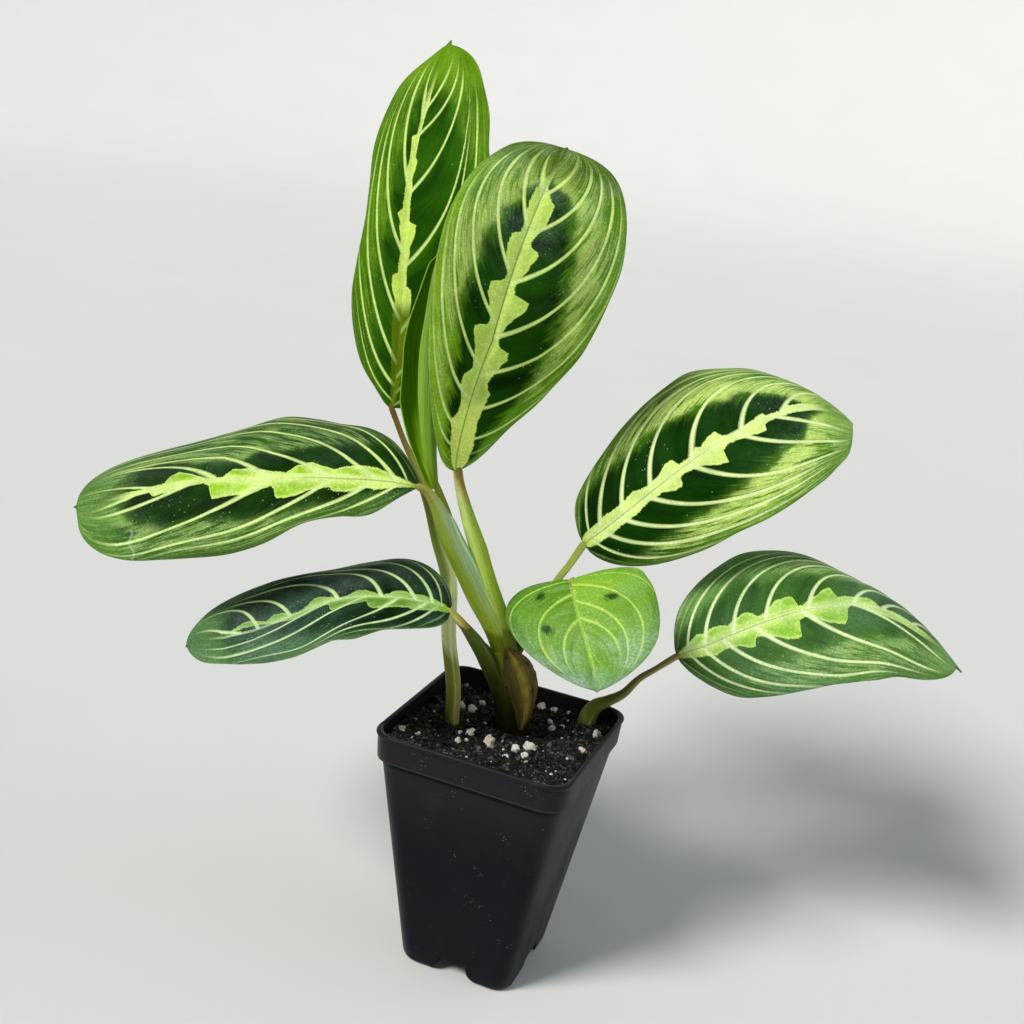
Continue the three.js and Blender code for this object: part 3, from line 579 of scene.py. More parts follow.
# Colours of each leaf: the dark patches, and where they are lighter; the green outside them and the
# pale stripes in it; the same green near the base and the margin, left and right; the band, the lobes'
# middles, the veins and the tip. vein_size: the veins' width. glow: how strong the pale stripes are.
# hair: how strong the hair lines are. lobe: how green the lobes' middles are. blue_sheen: how much
# painted bluish grey sheen, standing in for a reflection, lies on the leaf, and sheen how much painted
# whitish sheen lies near its tip. dust: how many pale specks. grit: how grainy the leaf looks. patch: 1 if
# the leaf has dark patches. old: the band's colour near the base, and how far up the midrib that goes.
# line: the colour of the thin line in the midrib, how far up it goes, and half its width.
LOOKS = dict(
    leaf_upright_back=dict(
        dark=rgb(20, 60, 0), lit=rgb(46, 98, 2), outer=rgb(62, 112, 6), stripe=rgb(136, 174, 40),
        low=(rgb(46, 92, 6), rgb(54, 106, 6)), margin=(rgb(92, 140, 10), rgb(92, 140, 10)),
        band=rgb(208, 236, 106), middle=rgb(174, 210, 70), vein=rgb(210, 238, 138), tip=rgb(110, 156, 18),
        vein_size=0.9, glow=0.35, hair=0.4, lobe=0.4, blue_sheen=0.0, sheen=0.0, dust=0.2, grit=0.25, patch=1.0,
        old=rgb(88, 116, 8), old_to=0.29, line=rgb(122, 116, 34), line_to=0.45, line_wide=0.28,
    ),
    leaf_upright_front=dict(
        dark=rgb(7, 36, 0), lit=rgb(28, 74, 1), outer=rgb(84, 132, 20), stripe=rgb(180, 206, 104),
        low=(rgb(136, 186, 24), rgb(92, 146, 14)), margin=(rgb(136, 182, 26), rgb(100, 148, 24)),
        band=rgb(202, 230, 112), middle=rgb(164, 200, 68), vein=rgb(214, 240, 138), tip=rgb(50, 84, 2),
        vein_size=1.1, glow=0.8, hair=0.5, lobe=0.55, blue_sheen=0.0, sheen=0.2, dust=0.5, grit=0.3, patch=1.0,
        old=rgb(230, 250, 122), old_to=0.2, line=rgb(104, 128, 6), line_to=1.0, line_wide=0.5,
    ),
    leaf_left_large=dict(
        dark=rgb(8, 32, 1), lit=rgb(24, 62, 4), outer=rgb(46, 88, 18), stripe=rgb(164, 198, 110),
        low=(rgb(60, 106, 34), rgb(28, 62, 8)), margin=(rgb(64, 106, 32), rgb(58, 100, 26)),
        band=rgb(218, 246, 138), middle=rgb(156, 206, 22), vein=rgb(222, 246, 156), tip=rgb(84, 132, 44),
        vein_size=1.2, glow=0.62, hair=0.8, lobe=1.0, blue_sheen=0.03, sheen=0.05, dust=1.0, grit=0.35, patch=1.0,
        old=rgb(190, 216, 90), old_to=0.05, line=rgb(140, 144, 56), line_to=0.5, line_wide=0.28,
    ),
    leaf_left_low=dict(
        dark=rgb(6, 24, 5), lit=rgb(34, 62, 36), outer=rgb(40, 78, 32), stripe=rgb(96, 134, 74),
        low=(rgb(38, 78, 30), rgb(44, 84, 38)), margin=(rgb(70, 112, 48), rgb(90, 130, 76)),
        band=rgb(168, 202, 108), middle=rgb(98, 142, 46), vein=rgb(212, 238, 172), tip=rgb(84, 128, 44),
        vein_size=1.1, glow=0.25, hair=0.4, lobe=0.95, blue_sheen=0.14, sheen=0.1, dust=0.7, grit=0.35, patch=1.0,
        old=rgb(150, 196, 60), old_to=0.06, line=rgb(150, 156, 80), line_to=0.0, line_wide=0.28,
    ),
    leaf_right_high=dict(
        dark=rgb(5, 36, 0), lit=rgb(18, 62, 1), outer=rgb(70, 122, 12), stripe=rgb(206, 236, 124),
        low=(rgb(62, 112, 20), rgb(48, 86, 24)), margin=(rgb(136, 184, 66), rgb(92, 142, 38)),
        band=rgb(224, 246, 148), middle=rgb(194, 228, 104), vein=rgb(230, 250, 174), tip=rgb(118, 164, 52),
        vein_size=1.28, glow=1.0, hair=0.9, lobe=0.5, blue_sheen=0.0, sheen=0.1, dust=0.3, grit=0.25, patch=1.0,
        old=rgb(196, 220, 110), old_to=0.05, line=rgb(146, 150, 66), line_to=0.6, line_wide=0.28,
    ),
    leaf_right_small=dict(
        dark=rgb(60, 110, 20), lit=rgb(90, 140, 40), outer=rgb(120, 166, 58), stripe=rgb(156, 198, 104),
        low=(rgb(134, 184, 52), rgb(98, 148, 36)), margin=(rgb(88, 138, 48), rgb(72, 122, 40)),
        band=rgb(190, 224, 96), middle=rgb(176, 212, 84), vein=rgb(188, 224, 100), tip=rgb(104, 154, 84),
        vein_size=0.95, glow=0.3, hair=0.1, lobe=0.0, blue_sheen=0.12, sheen=0.95, dust=0.25, grit=0.4, patch=0.0,
        old=rgb(186, 196, 96), old_to=0.1, line=rgb(170, 112, 62), line_to=0.32, line_wide=0.28,
    ),
    leaf_right_low=dict(
        dark=rgb(38, 76, 30), lit=rgb(70, 112, 48), outer=rgb(80, 124, 50), stripe=rgb(168, 204, 124),
        low=(rgb(96, 140, 70), rgb(66, 108, 48)), margin=(rgb(130, 170, 106), rgb(82, 126, 58)),
        band=rgb(200, 232, 128), middle=rgb(140, 194, 56), vein=rgb(226, 244, 182), tip=rgb(106, 152, 64),
        vein_size=1.2, glow=0.5, hair=0.7, lobe=0.95, blue_sheen=0.1, sheen=0.0, dust=0.7, grit=0.4, patch=1.0,
        old=rgb(186, 210, 110), old_to=0.05, line=rgb(160, 146, 84), line_to=0.6, line_wide=0.28,
    ),
)
# The colour of the painted bluish sheen, which stands in for a reflection of the sky.
BLUE_SHEEN = rgb(140, 170, 160)
LINES_PER_GAP = 9


def leaf_material(name, look, length):
    sh = Shader(name, Specular_IOR_Level=0.03, Subsurface_Weight=0.05, Subsurface_Scale=0.001)
    rib, gap = sh.field("rib"), sh.field("gap")
    edge, along, upper = sh.field("edge"), sh.field("along"), sh.field("upper")
    right = sh.math("GREATER_THAN", rib, 0.0)
    number = sh.put("Mix", {0: right, 2: sh.field("vein_left"), 3: sh.field("vein_right")}, 0)
    away = sh.math("ABSOLUTE", rib)
    beside = sh.times(sh.math("PINGPONG", number, 0.5), gap)

    # Stripes and hair lines that run along the veins, and soft mottling.
    turn = sh.times(right, 37.0)
    run = sh.times(along, length / 12.0)
    coarse = sh.noise(sh.join(sh.times(number, 4.5), sh.times(run, 0.8), turn), 1.0, 2.0, 0.6)
    fine = sh.noise(sh.join(sh.times(number, 17.0), sh.times(run, 1.5), turn), 1.0, 2.0, 0.6)
    place = sh.place()
    mottle = sh.noise(place, 90.0, 4.0, 0.6)
    grain = sh.noise(place, 1400.0, 2.0, 0.6)
    stripe = sh.add(sh.times(coarse, 0.55), sh.times(fine, 0.45))
    swing = sh.add(stripe, -0.5)
    wander = sh.times(sh.add(coarse, -0.5), 9.0)
    hair = sh.math("SINE", sh.add(sh.times(number, 2 * math.pi * LINES_PER_GAP), wander))
    strength = sh.step(coarse, 0.3, 0.65, look["hair"] * 0.3, look["hair"])
    hair = sh.times(hair, sh.times(sh.step(gap, 2.0, 7.0), strength))

    # Outside the dark patches: green with pale stripes, brightest where the patches end.
    low = sh.step(sh.add(along, sh.times(swing, 0.2)), 0.5, 0.1)
    dark = sh.add(sh.field("dark"), sh.times(sh.add(mottle, -0.5), 7.0))
    glow = sh.times(sh.step(dark, 1.0, -2.0), sh.step(dark, -15.0, -3.0, 0.2, 1.0))
    glow = sh.times(glow, sh.add(1.0, sh.times(low, -0.85)))
    pale = sh.add(sh.times(glow, 0.42 * look["glow"] + 0.06), sh.times(swing, 3.2))
    pale = sh.add(pale, sh.add(sh.times(hair, 0.14), sh.times(sh.add(grain, -0.5), 0.3)))
    pale = sh.times(sh.step(pale, -0.1, 0.6), look["glow"] * 0.5 + 0.45)
    base = sh.blend(right, *look["low"])
    colour = sh.blend(pale, sh.blend(low, look["outer"], base), look["stripe"])
    to_margin = sh.step(sh.add(edge, sh.times(swing, 8.0)), 4.5, 0.5, 0.0, 0.75)
    margin = sh.blend(right, *look["margin"])
    colour = sh.blend(to_margin, colour, sh.blend(sh.times(low, 0.6), margin, base))

    # The dark patches, ragged where they end and clean beside the veins.
    inside = sh.add(dark, sh.add(sh.times(swing, 17.0), sh.times(hair, 0.5)))
    patch = sh.times(sh.step(inside, -2.6, 3.4), look["patch"])
    broad = sh.noise(sh.join(sh.times(number, 1.3), sh.times(run, 0.5), turn), 1.0, 2.0, 0.5)
    shade = sh.blend(sh.step(broad, 0.3, 0.7), look["dark"], look["lit"])
    shade = sh.blend(sh.step(sh.add(fine, sh.times(hair, 0.06)), 0.5, 0.8, 0.0, 0.45), shade, look["lit"])
    colour = sh.blend(patch, colour, shade)
    at_tip = sh.step(sh.add(along, sh.times(swing, 0.16)), 0.82, 0.93, 0.0, 0.75)
    at_tip_colour = sh.blend(sh.step(stripe, 0.42, 0.66, 0.0, 0.4), look["tip"], look["stripe"])
    colour = sh.blend(at_tip, colour, at_tip_colour)

    # Side veins, the pale band with greener lobes, and the midrib.
    size = look["vein_size"]
    width = sh.put("MapRange", {"Value": away, "From Min": 0.0, "From Max": 18.0,
                                "To Min": 0.68 * size, "To Max": 0.42 * size})
    width = sh.math("MINIMUM", width, sh.times(gap, 0.15))
    vein = sh.step(beside, sh.times(width, 1.25), sh.times(width, 0.75))
    core = sh.step(beside, sh.times(width, 0.85), sh.times(width, 0.3), 0.55, 1.0)
    drawn = sh.times(sh.field("shown"), sh.times(
        sh.step(along, 0.98, 0.86, 0.1, 1.0), sh.step(edge, 0.3, 4.0, 0.4, 1.0)))
    drawn = sh.times(drawn, sh.step(gap, 1.1, 3.0, 0.1, 1.0))
    near_band = sh.add(sh.field("band"), sh.times(sh.add(fine, -0.5), 1.6))
    band = sh.times(sh.step(near_band, 0.22, -0.18), sh.step(along, 0.92, 0.82))
    middle = sh.times(sh.step(away, 0.8, 3.4), sh.step(beside, 0.5, 2.0))
    middle = sh.times(middle, sh.step(near_band, -0.3, -1.3, 0.25, 1.0))
    spots = sh.step(sh.noise(place, 170.0, 3.0, 0.6), 0.34, 0.6, 0.4 * look["lobe"], look["lobe"])
    band_colour = sh.blend(sh.times(middle, spots), look["band"], look["middle"])
    up_rib = sh.add(along, sh.times(sh.add(coarse, -0.5), 0.08))
    old = sh.step(up_rib, look["old_to"] + 0.02, look["old_to"] - 0.05)
    band_colour = sh.blend(old, band_colour, look["old"])
    colour = sh.blend(band, colour, band_colour)
    across_band = sh.add(1.0, sh.times(sh.times(band, old), -0.6))
    colour = sh.blend(sh.times(sh.times(vein, sh.times(drawn, core)), across_band), colour, look["vein"])
    midrib = sh.times(sh.step(away, 0.9, 0.35), sh.step(along, 0.95, 0.84))
    colour = sh.blend(sh.times(midrib, 0.6), colour, sh.blend(old, look["vein"], look["old"]))
    line = sh.times(sh.step(away, look["line_wide"], 0.08),
                    sh.step(along, look["line_to"], look["line_to"] - 0.3, 0.0, 0.7))
    colour = sh.blend(line, colour, look["line"])
    rim = sh.step(edge, 0.4, 0.1, 0.0, 0.4)
    colour = sh.blend(rim, colour, rgb(126, 144, 90))

    # Blemishes, mottling, a painted bluish sheen and a painted whitish sheen near the tip, which stand in
    # for reflections, and dust and dried water specks.
    ticks = sh.noise(sh.join(sh.times(number, 30.0), sh.times(run, 2.0), turn), 1.0, 2.0, 0.6)
    spot = sh.add(sh.field("spot"), sh.times(sh.add(ticks, -0.5), 1.5))
    spot = sh.times(sh.step(spot, 0.3, 0.9, 0.0, 0.92), sh.step(sh.field("spot"), 0.05, 0.35))
    colour = sh.blend(spot, colour, rgb(26, 54, 6))
    scar = sh.step(sh.field("spot"), -0.35, -0.9, 0.0, 0.4)
    colour = sh.blend(scar, colour, rgb(190, 206, 186))
    colour = sh.blend(sh.step(mottle, 0.4, 0.7, 0.0, 0.2), colour, look["dark"])
    colour = sh.blend(sh.step(grain, 0.48, 0.7, 0.0, look["grit"]), colour, sh.brighter(colour, 1.9))
    # Painted sheen: soft bluish grey patches that stand in for a reflection of the sky.
    blue_sheen_mask = sh.step(sh.noise(place, 32.0, 3.0, 0.6), 0.42, 0.72)
    blue_sheen_mask = sh.times(blue_sheen_mask, sh.step(grain, 0.3, 0.7, 0.4, 1.0))
    colour = sh.blend(sh.times(blue_sheen_mask, look["blue_sheen"] * 2.2), colour, BLUE_SHEEN)
    # Painted sheen: whitish patches towards the tip that stand in for a reflection.
    shine = sh.times(sh.step(along, 0.4, 0.95), sh.step(sh.noise(place, 75.0, 4.0, 0.65), 0.36, 0.62))
    shine = sh.times(shine, sh.step(grain, 0.35, 0.65, 0.3, 1.0))
    colour = sh.blend(sh.times(shine, look["sheen"]), colour, rgb(178, 204, 184))
    pick = sh.put("SeparateColor", {"Color": sh.cells(place, 1500.0, "Color")}, 0)
    dusty = sh.step(sh.noise(place, 60.0, 2.0), 0.45, 0.7, 0.0, 0.24 * look["dust"])
    speck = sh.times(sh.math("LESS_THAN", pick, dusty), sh.step(sh.cells(place, 1500.0), 0.3, 0.16))
    colour = sh.blend(sh.times(speck, 0.55), colour, WHITE)

    # The underside is a greyish green, with the veins and the patches only just showing.
    under = sh.blend(sh.times(patch, 0.4), rgb(118, 152, 88), rgb(76, 104, 62))
    under = sh.blend(sh.times(vein, 0.6), under, rgb(164, 188, 120))
    under = sh.blend(sh.step(away, 1.6, 0.7), under, rgb(172, 188, 104))
    under = sh.blend(sh.step(stripe, 0.4, 0.7, 0.0, 0.3), under, rgb(92, 124, 70))
    colour = sh.blend(upper, under, colour)

    rough = sh.add(sh.step(patch, 0.0, 1.0, 0.42, 0.5), sh.times(sh.add(mottle, -0.5), 0.2))
    skin = sh.cells(place, 3800.0)
    height = sh.add(sh.add(sh.times(fine, 0.6), sh.times(skin, 0.2)), sh.times(vein, -0.5))
    height = sh.add(height, sh.times(hair, 0.2))
    return sh.end(colour, rough, height, 0.0003, 0.8)


# ---------------------------------------------------------------- leaf shape


def direction(azimuth, elevation):
    turn, rise = math.radians(azimuth), math.radians(elevation)
    return np.array([math.cos(rise) * math.sin(turn), math.cos(rise) * math.cos(turn), math.sin(rise)])


def smooth_through(values, s):
    """The values at s, from 0 to 1, of a smooth curve through evenly spaced values."""
    values = np.asarray(values, float)
    at = s * (len(values) - 1)
    start = np.clip(np.floor(at).astype(int), 0, len(values) - 2)
    before, low, high, after = (values[np.clip(start + k, 0, len(values) - 1)] for k in (-1, 0, 1, 2))
    t = at - start
    bend = (high - before) * t * (1 - t) ** 2 - (after - low) * (1 - t) * t ** 2
    return low + (high - low) * t * t * (3 - 2 * t) + bend / 2


def along_spine(spine, s):
    """Points and directions at parts of a Bezier curve's length, and that length; straight on after it."""
    p0, p1, p2, p3 = (np.array(p, float) for p in spine)

    def point(t):
        t = t[:, None]
        return p0 * (1 - t) ** 3 + 3 * p1 * t * (1 - t) ** 2 + 3 * p2 * t ** 2 * (1 - t) + p3 * t ** 3

    fine = np.linspace(0, 1, 801)
    reached = np.concatenate([[0], np.cumsum(np.linalg.norm(np.diff(point(fine), axis=0), axis=1))])
    length = reached[-1]
    t = np.interp(np.minimum(s, 1) * length, reached, fine)
    u = t[:, None]
    forward = unit(3 * (p1 - p0) * (1 - u) ** 2 + 6 * (p2 - p1) * u * (1 - u) + 3 * (p3 - p2) * u ** 2)
    return point(t) + forward * np.maximum(s - 1, 0)[:, None] * length, forward, length


def blade(leaf, s, v, tip=0.0):
    """The middle surface of a blade at parts s of its length and v of its width, and its measures."""
    place, forward, length = along_spine(leaf["spine"], s)
    low, high = (direction(*face) for face in leaf["face"])
    facing = low + (high - low) * s[:, None]
    right = unit(np.cross(forward, facing))
    up = np.cross(right, forward)
    base, end = leaf["ends"]
    widest = base / (base + end)
    inside = np.clip(s, 0, 1)
    width = inside ** base * (1 - inside) ** end / (widest ** base * (1 - widest) ** end)
    left = v[None] < 0

    def by_half(values):
        return np.where(left, np.broadcast_to(values[0], len(s))[:, None],
                        np.broadcast_to(values[1], len(s))[:, None])

    trim = by_half([smooth_through(factors, inside) for factors in leaf["trim"]])
    half = by_half(leaf["half"])
    # The least half width, which tapers off along the little point past the end.
    least = 0.5 if not tip else np.where(s > 1, 1 - (s - 1) * length / tip + 0.08, 1.08)[:, None] * 0.9
    size = np.maximum(width[:, None] * trim * half, least)
    q = np.abs(v)[None]
    fold, curl = (np.radians(by_half(leaf[key])) for key in ("fold", "curl"))
    out = (np.sin(fold + curl * q) - np.sin(fold)) / curl
    rise = (np.cos(fold) - np.cos(fold + curl * q)) / curl
    height, waves, phase = leaf["wave"]
    third = np.where(left, 0, 1 / 3)
    wave = height * q ** 2 * width[:, None] * np.sin(2 * np.pi * (waves * s[:, None] + phase + third))
    points = (place[:, None] + right[:, None] * (np.sign(v)[None] * out * size)[..., None]
              + up[:, None] * (rise * size + wave)[..., None])
    return points, dict(size=size, scale=half * width[:, None], trim=trim, q=q)


def vein_number(veins, s, p):
    """How many side veins lie between the base and each point: whole numbers are on a vein."""
    start, bend = (np.array(values) for values in zip(*veins))
    start = np.concatenate([[start[0] - 0.08, start[0] - 0.045], start, [start[-1] + 0.09]])
    bend = np.concatenate([[bend[0] * 0.3, bend[0] * 0.6], bend, [bend[-1] * 1.2]])
    number = np.arange(len(start)) - 2.0
    result = np.empty_like(p)
    for row, here in enumerate(s):
        past = here - start
        reach = np.where(past > 0, 1.1 * past / (np.maximum(past, 0) + bend), 12 * past)
        reach = np.minimum.accumulate(reach - 1e-4 * number)
        places = np.concatenate([[reach[-1] - 0.6], reach[::-1], [reach[0] + 2.5]])
        result[row] = np.interp(p[row], places, np.concatenate([[number[-1] + 1.5], number[::-1], [-4.5]]))
    return result


def spacing(points, number):
    """Millimetres from one vein to the next at each point."""
    du, dv = np.gradient(points, axis=0), np.gradient(points, axis=1)
    tu, tv = np.gradient(number, axis=0), np.gradient(number, axis=1)
    e, f, g = (du * du).sum(-1), (du * dv).sum(-1), (dv * dv).sum(-1)
    slope = (tu ** 2 * g - 2 * tu * tv * f + tv ** 2 * e) / np.maximum(e * g - f * f, 1e-9)
    return np.clip(1 / np.sqrt(np.maximum(slope, 1e-5)), 0.4, 25)


def outward(points, leaf):
    """The unit normals of a blade's middle surface, on the side that the leaf faces."""
    out = unit(np.cross(np.gradient(points, axis=0), np.gradient(points, axis=1)))
    rows, columns = points.shape[:2]
    faced = sum(direction(*face) for face in leaf["face"])
    return out * np.sign(out[rows // 2, columns // 2] @ faced)


def skin_blade(piece, upper, lower, rect, **fields):
    """Adds a blade from grids of its upper and lower points, with fields that broadcast over them."""
    rows, columns = upper.shape[:2]
    last = columns - 1
    grid = np.concatenate([upper, lower[:, ::-1]], 1)
    count = 2 * columns
    u0, v0, u1, v1 = rect
    third = (u1 - u0) / 2
    sides = [
        (range(columns), (u0, v0, u0 + third - 0.01, v1)),
        ([last, last + 1], (u0 + third - 0.008, v0, u0 + third - 0.006, v1)),
        (range(columns, count), (u0 + third, v0, u1 - 0.01, v1)),
        ([count - 1, 0], (u1 - 0.008, v0, u1 - 0.006, v1)),
    ]
    quads, corners = zip(*(strip(rows, count, list(across), area) for across, area in sides))
    j = np.arange(last)
    ends = []
    for first, flip in ((0, True), ((rows - 1) * count, False)):
        face = np.stack([first + j, first + count - 1 - j, first + count - 2 - j, first + j + 1], -1)
        ends.append(face if flip else face[:, ::-1])
    ends = np.concatenate(ends)
    corner = np.array([[0, 0], [0.001, 0], [0.001, 0.001], [0, 0.001]]) + [u1 - 0.004, v0]
    full = {"upper": np.concatenate([np.ones((rows, columns)), np.zeros((rows, columns))], 1)}
    for key, value in fields.items():
        value = np.broadcast_to(value, (rows, columns))
        full[key] = np.concatenate([value, value[:, ::-1]], 1)
    uvs = (*corners, np.broadcast_to(corner, (len(ends), 4, 2)))
    piece.add(grid, (*quads, ends), uvs, **full)


def leaf_piece(name, leaf, look, stalk_material):
    tip = leaf["tip"]
    t = np.linspace(0, 1, BLADE["rows"])
    s = 0.5 * t + 0.25 * (1 - np.cos(np.pi * t))
    _, _, length = along_spine(leaf["spine"], s)
    s = np.concatenate([s, 1 + np.linspace(0.2, 1, BLADE["tip_rows"]) * tip / length])
    v = np.linspace(-1, 1, BLADE["columns"])
    middle, made = blade(leaf, s, v, tip)
    q = made["q"]

    across = v[None] * made["trim"]
    inside = np.clip(s, 0, 1)
    rib_at = polyline(leaf["rib"], inside)[:, None]
    scale = np.maximum(made["scale"], 0.6)
    rib = (across - rib_at) * scale
    left = vein_number(leaf["veins"][0], inside, np.maximum((rib_at - across) / (1 + rib_at), 0))
    right = vein_number(leaf["veins"][1], inside, np.maximum((across - rib_at) / (1 - rib_at), 0))
    number = np.where(rib > 0, right, left)
    gap = np.where(rib > 0, spacing(middle, right), spacing(middle, left))
    band_left, band_right = (polyline(line, inside)[:, None] for line in leaf["band"])
    nearby = np.linspace(-0.024, 0.024, 9)
    dark_left, dark_right = (
        np.mean([polyline(line, inside + near) for near in nearby], 0)[:, None] for line in leaf["reach"])
    band = np.maximum(across - band_right, -across - band_left) * scale
    dark = np.minimum(dark_right - across, dark_left + across) * scale
    edge = (1 - q) * made["size"]
    last_left, last_right = (len(side) - 1 for side in leaf["veins"])
    last = np.where(rib > 0, last_right, last_left)
    shown = (0.3 + 0.7 * smooth(number, -0.7, -0.4)) * smooth(number, last + 0.65, last + 0.4)
    spot = np.zeros_like(rib)
    for at, side, tall, wide in leaf.get("spots", []):
        spot += np.exp(-((inside[:, None] - at) / tall) ** 2 - ((across - side) / wide) ** 2)
    if "scar" in leaf:
        at, left_end, right_end = leaf["scar"]
        bend = at + 0.006 * np.sin(across * 23)
        reach = smooth(across, left_end - 0.1, left_end) * smooth(across, right_end + 0.1, right_end)
        spot -= np.exp(-((inside[:, None] - bend) / 0.005) ** 2) * reach

    # Between two side veins the blade arches up a little, and the midrib lies in a groove over a keel.
    out = outward(middle, leaf)
    arch = np.sin(np.pi * (number % 1)) ** 2 * np.minimum(0.42, 0.065 * gap)
    arch *= smooth(edge, 0, 6) * smooth(np.abs(rib), 0.5, 3) * smooth(s, 1, 0.85)[:, None]
    groove = 0.3 * np.exp(-(rib / 0.9) ** 2) * smooth(s, 1, 0.9)[:, None]
    keel = np.exp(-(rib / 0.75) ** 2) * (0.25 + 1.1 * smooth(s, 0.35, 0)[:, None])
    keel *= smooth(s, 1, 0.8)[:, None]
    thick = BLADE["half_edge"] + (BLADE["half_middle"] - BLADE["half_edge"]) * (1 - q ** 2)
    upper_side = middle + out * (thick + arch - groove)[..., None]
    lower_side = middle - out * (thick - arch + keel)[..., None]

    piece = Piece()
    skin_blade(piece, upper_side, lower_side, (0.0, 0.0, 1.0, 0.9), rib=rib, vein_left=left,
               vein_right=right, gap=gap, band=band, dark=dark, edge=edge, spot=spot, shown=shown,
               along=s[:, None])
    add_stalk(piece, leaf["stalk"], (0.02, 0.91, 0.98, 0.99), pulvinus=True, material=1)
    material = leaf_material(name, look, length)
    piece.finish(name, [material, stalk_material], [name])


# ---------------------------------------------------------------- stalks


def smooth_path(path, per_span=24):
    """Points on a smooth curve through those of path, how far along it each lies, and their radii."""
    p = np.array(path, float)
    places = p[:, :3]
    places = np.concatenate([[2 * places[0] - places[1]], places, [2 * places[-1] - places[-2]]])
    points = []
    for i in range(len(p) - 1):
        p0, p1, p2, p3 = places[i:i + 4]
        d0, d1, d2 = (math.sqrt(np.linalg.norm(b - a)) for a, b in ((p0, p1), (p1, p2), (p2, p3)))
        start = ((p1 - p0) / d0 - (p2 - p0) / (d0 + d1) + (p2 - p1) / d1) * d1
        end = ((p2 - p1) / d1 - (p3 - p1) / (d1 + d2) + (p3 - p2) / d2) * d1
        t = np.linspace(0, 1, per_span, endpoint=False)[:, None]
        points.append(p1 + start * t + (3 * (p2 - p1) - 2 * start - end) * t ** 2
                      + (2 * (p1 - p2) + start + end) * t ** 3)
    points = np.concatenate([*points, places[-2:-1]])
    reached = np.concatenate([[0], np.cumsum(np.linalg.norm(np.diff(points, axis=0), axis=1))])
    radius = np.interp(reached, reached[::per_span], p[:, 3])
    return points, reached, radius


# Colours along each stalk, from the soil to the leaf, as parts of its length: left and right side. The
# darkening towards the soil is painted shade, strongest on the clump, and where one side is paler than the
# other, the paler side is a painted highlight.
STALK_LOOKS = dict(
    clump=[(0, (10, 10, 3), (10, 10, 3)), (.3, (18, 20, 3), (18, 20, 3)), (.6, (38, 44, 5), (34, 40, 5)),
           (.8, (64, 74, 8), (56, 64, 7)), (1, (90, 104, 14), (80, 92, 10))],
    back=[(0, (36, 28, 12), (44, 36, 16)), (.1, (84, 74, 26), (112, 102, 44)),
          (.13, (134, 130, 42), (184, 184, 98)), (.29, (144, 142, 48), (194, 194, 106)),
          (.33, (234, 238, 168), (250, 252, 196)), (.4, (234, 240, 170), (250, 252, 198)),
          (.48, (160, 180, 84), (236, 244, 176)), (.62, (142, 158, 56), (236, 242, 164)),
          (.72, (138, 144, 52), (206, 210, 126)),
          (.84, (124, 126, 50), (160, 164, 92)), (.94, (112, 92, 36), (132, 114, 52)),
          (1, (112, 82, 36), (132, 104, 52))],
    front=[(0, (60, 70, 7), (52, 62, 6)), (.36, (98, 112, 10), (84, 98, 8)),
           (.375, (150, 172, 60), (116, 138, 24)), (.6, (184, 210, 98), (150, 178, 50)),
           (.88, (198, 216, 124), (152, 174, 66)), (.94, (206, 206, 132), (156, 138, 60)),
           (1, (186, 174, 98), (152, 124, 50))],
    left_large=[(0, (66, 76, 6), (70, 80, 8)), (.36, (88, 102, 8), (92, 108, 12)),
                (.385, (132, 152, 36), (150, 174, 72)), (.7, (126, 150, 44), (158, 184, 138)),
                (.9, (136, 158, 56), (156, 178, 128)), (.95, (150, 154, 66), (160, 168, 98)),
                (1, (146, 142, 58), (158, 156, 78))],
    sheath_tip=[(0, (120, 142, 44), (140, 160, 84)), (.4, (116, 136, 40), (138, 156, 70)),
                (.6, (104, 124, 28), (118, 138, 42)), (1, (96, 118, 24), (104, 126, 28))],
    left_low=[(0, (16, 18, 4), (18, 20, 4)), (.35, (36, 46, 8), (44, 54, 12)),
              (.65, (58, 74, 16), (70, 86, 26)), (.89, (78, 98, 28), (94, 112, 42)),
              (.915, (106, 90, 36), (94, 72, 26)),
              (.935, (186, 176, 100), (150, 128, 60)), (.97, (196, 190, 112), (164, 144, 70)),
              (1, (196, 194, 106), (172, 160, 80))],
    right_high=[(0, (50, 58, 10), (56, 64, 12)), (.3, (80, 96, 24), (92, 108, 34)),
                (.5, (150, 168, 62), (176, 190, 92)),
                (.85, (160, 176, 74), (190, 200, 108)), (1, (160, 168, 76), (186, 192, 100))],
    right_low=[(0, (70, 78, 18), (80, 88, 22)), (.15, (104, 114, 36), (112, 122, 40)),
               (.22, (140, 140, 84), (134, 144, 60)), (.28, (104, 116, 30), (116, 128, 36)),
               (.4, (96, 104, 34), (130, 134, 60)), (.6, (112, 106, 52), (140, 136, 84)),
               (.8, (128, 118, 70), (152, 144, 96)), (1, (146, 134, 78), (170, 160, 98))],
    right_small=[(0, (50, 58, 10), (56, 64, 12)), (.4, (84, 98, 24), (96, 108, 34)),
                 (.7, (140, 150, 56), (156, 166, 68)), (1, (160, 190, 70), (164, 192, 74))],
)
# The free edge of the sheath round a stalk: the side on which it lies, seen from the front, how far it
# stands out, and how far up the stalk it goes.
SHEATHS = dict(
    clump=(30, 0.3, 1), back=(25, 0.3, .62), front=(-50, 0.4, .82), left_large=(60, 0.45, .87),
    left_low=(40, 0.4, .8), right_low=(20, 0.3, .3),
)
TOWARD_VIEWER = unit(np.array([0.32, -0.9, 0.25]))


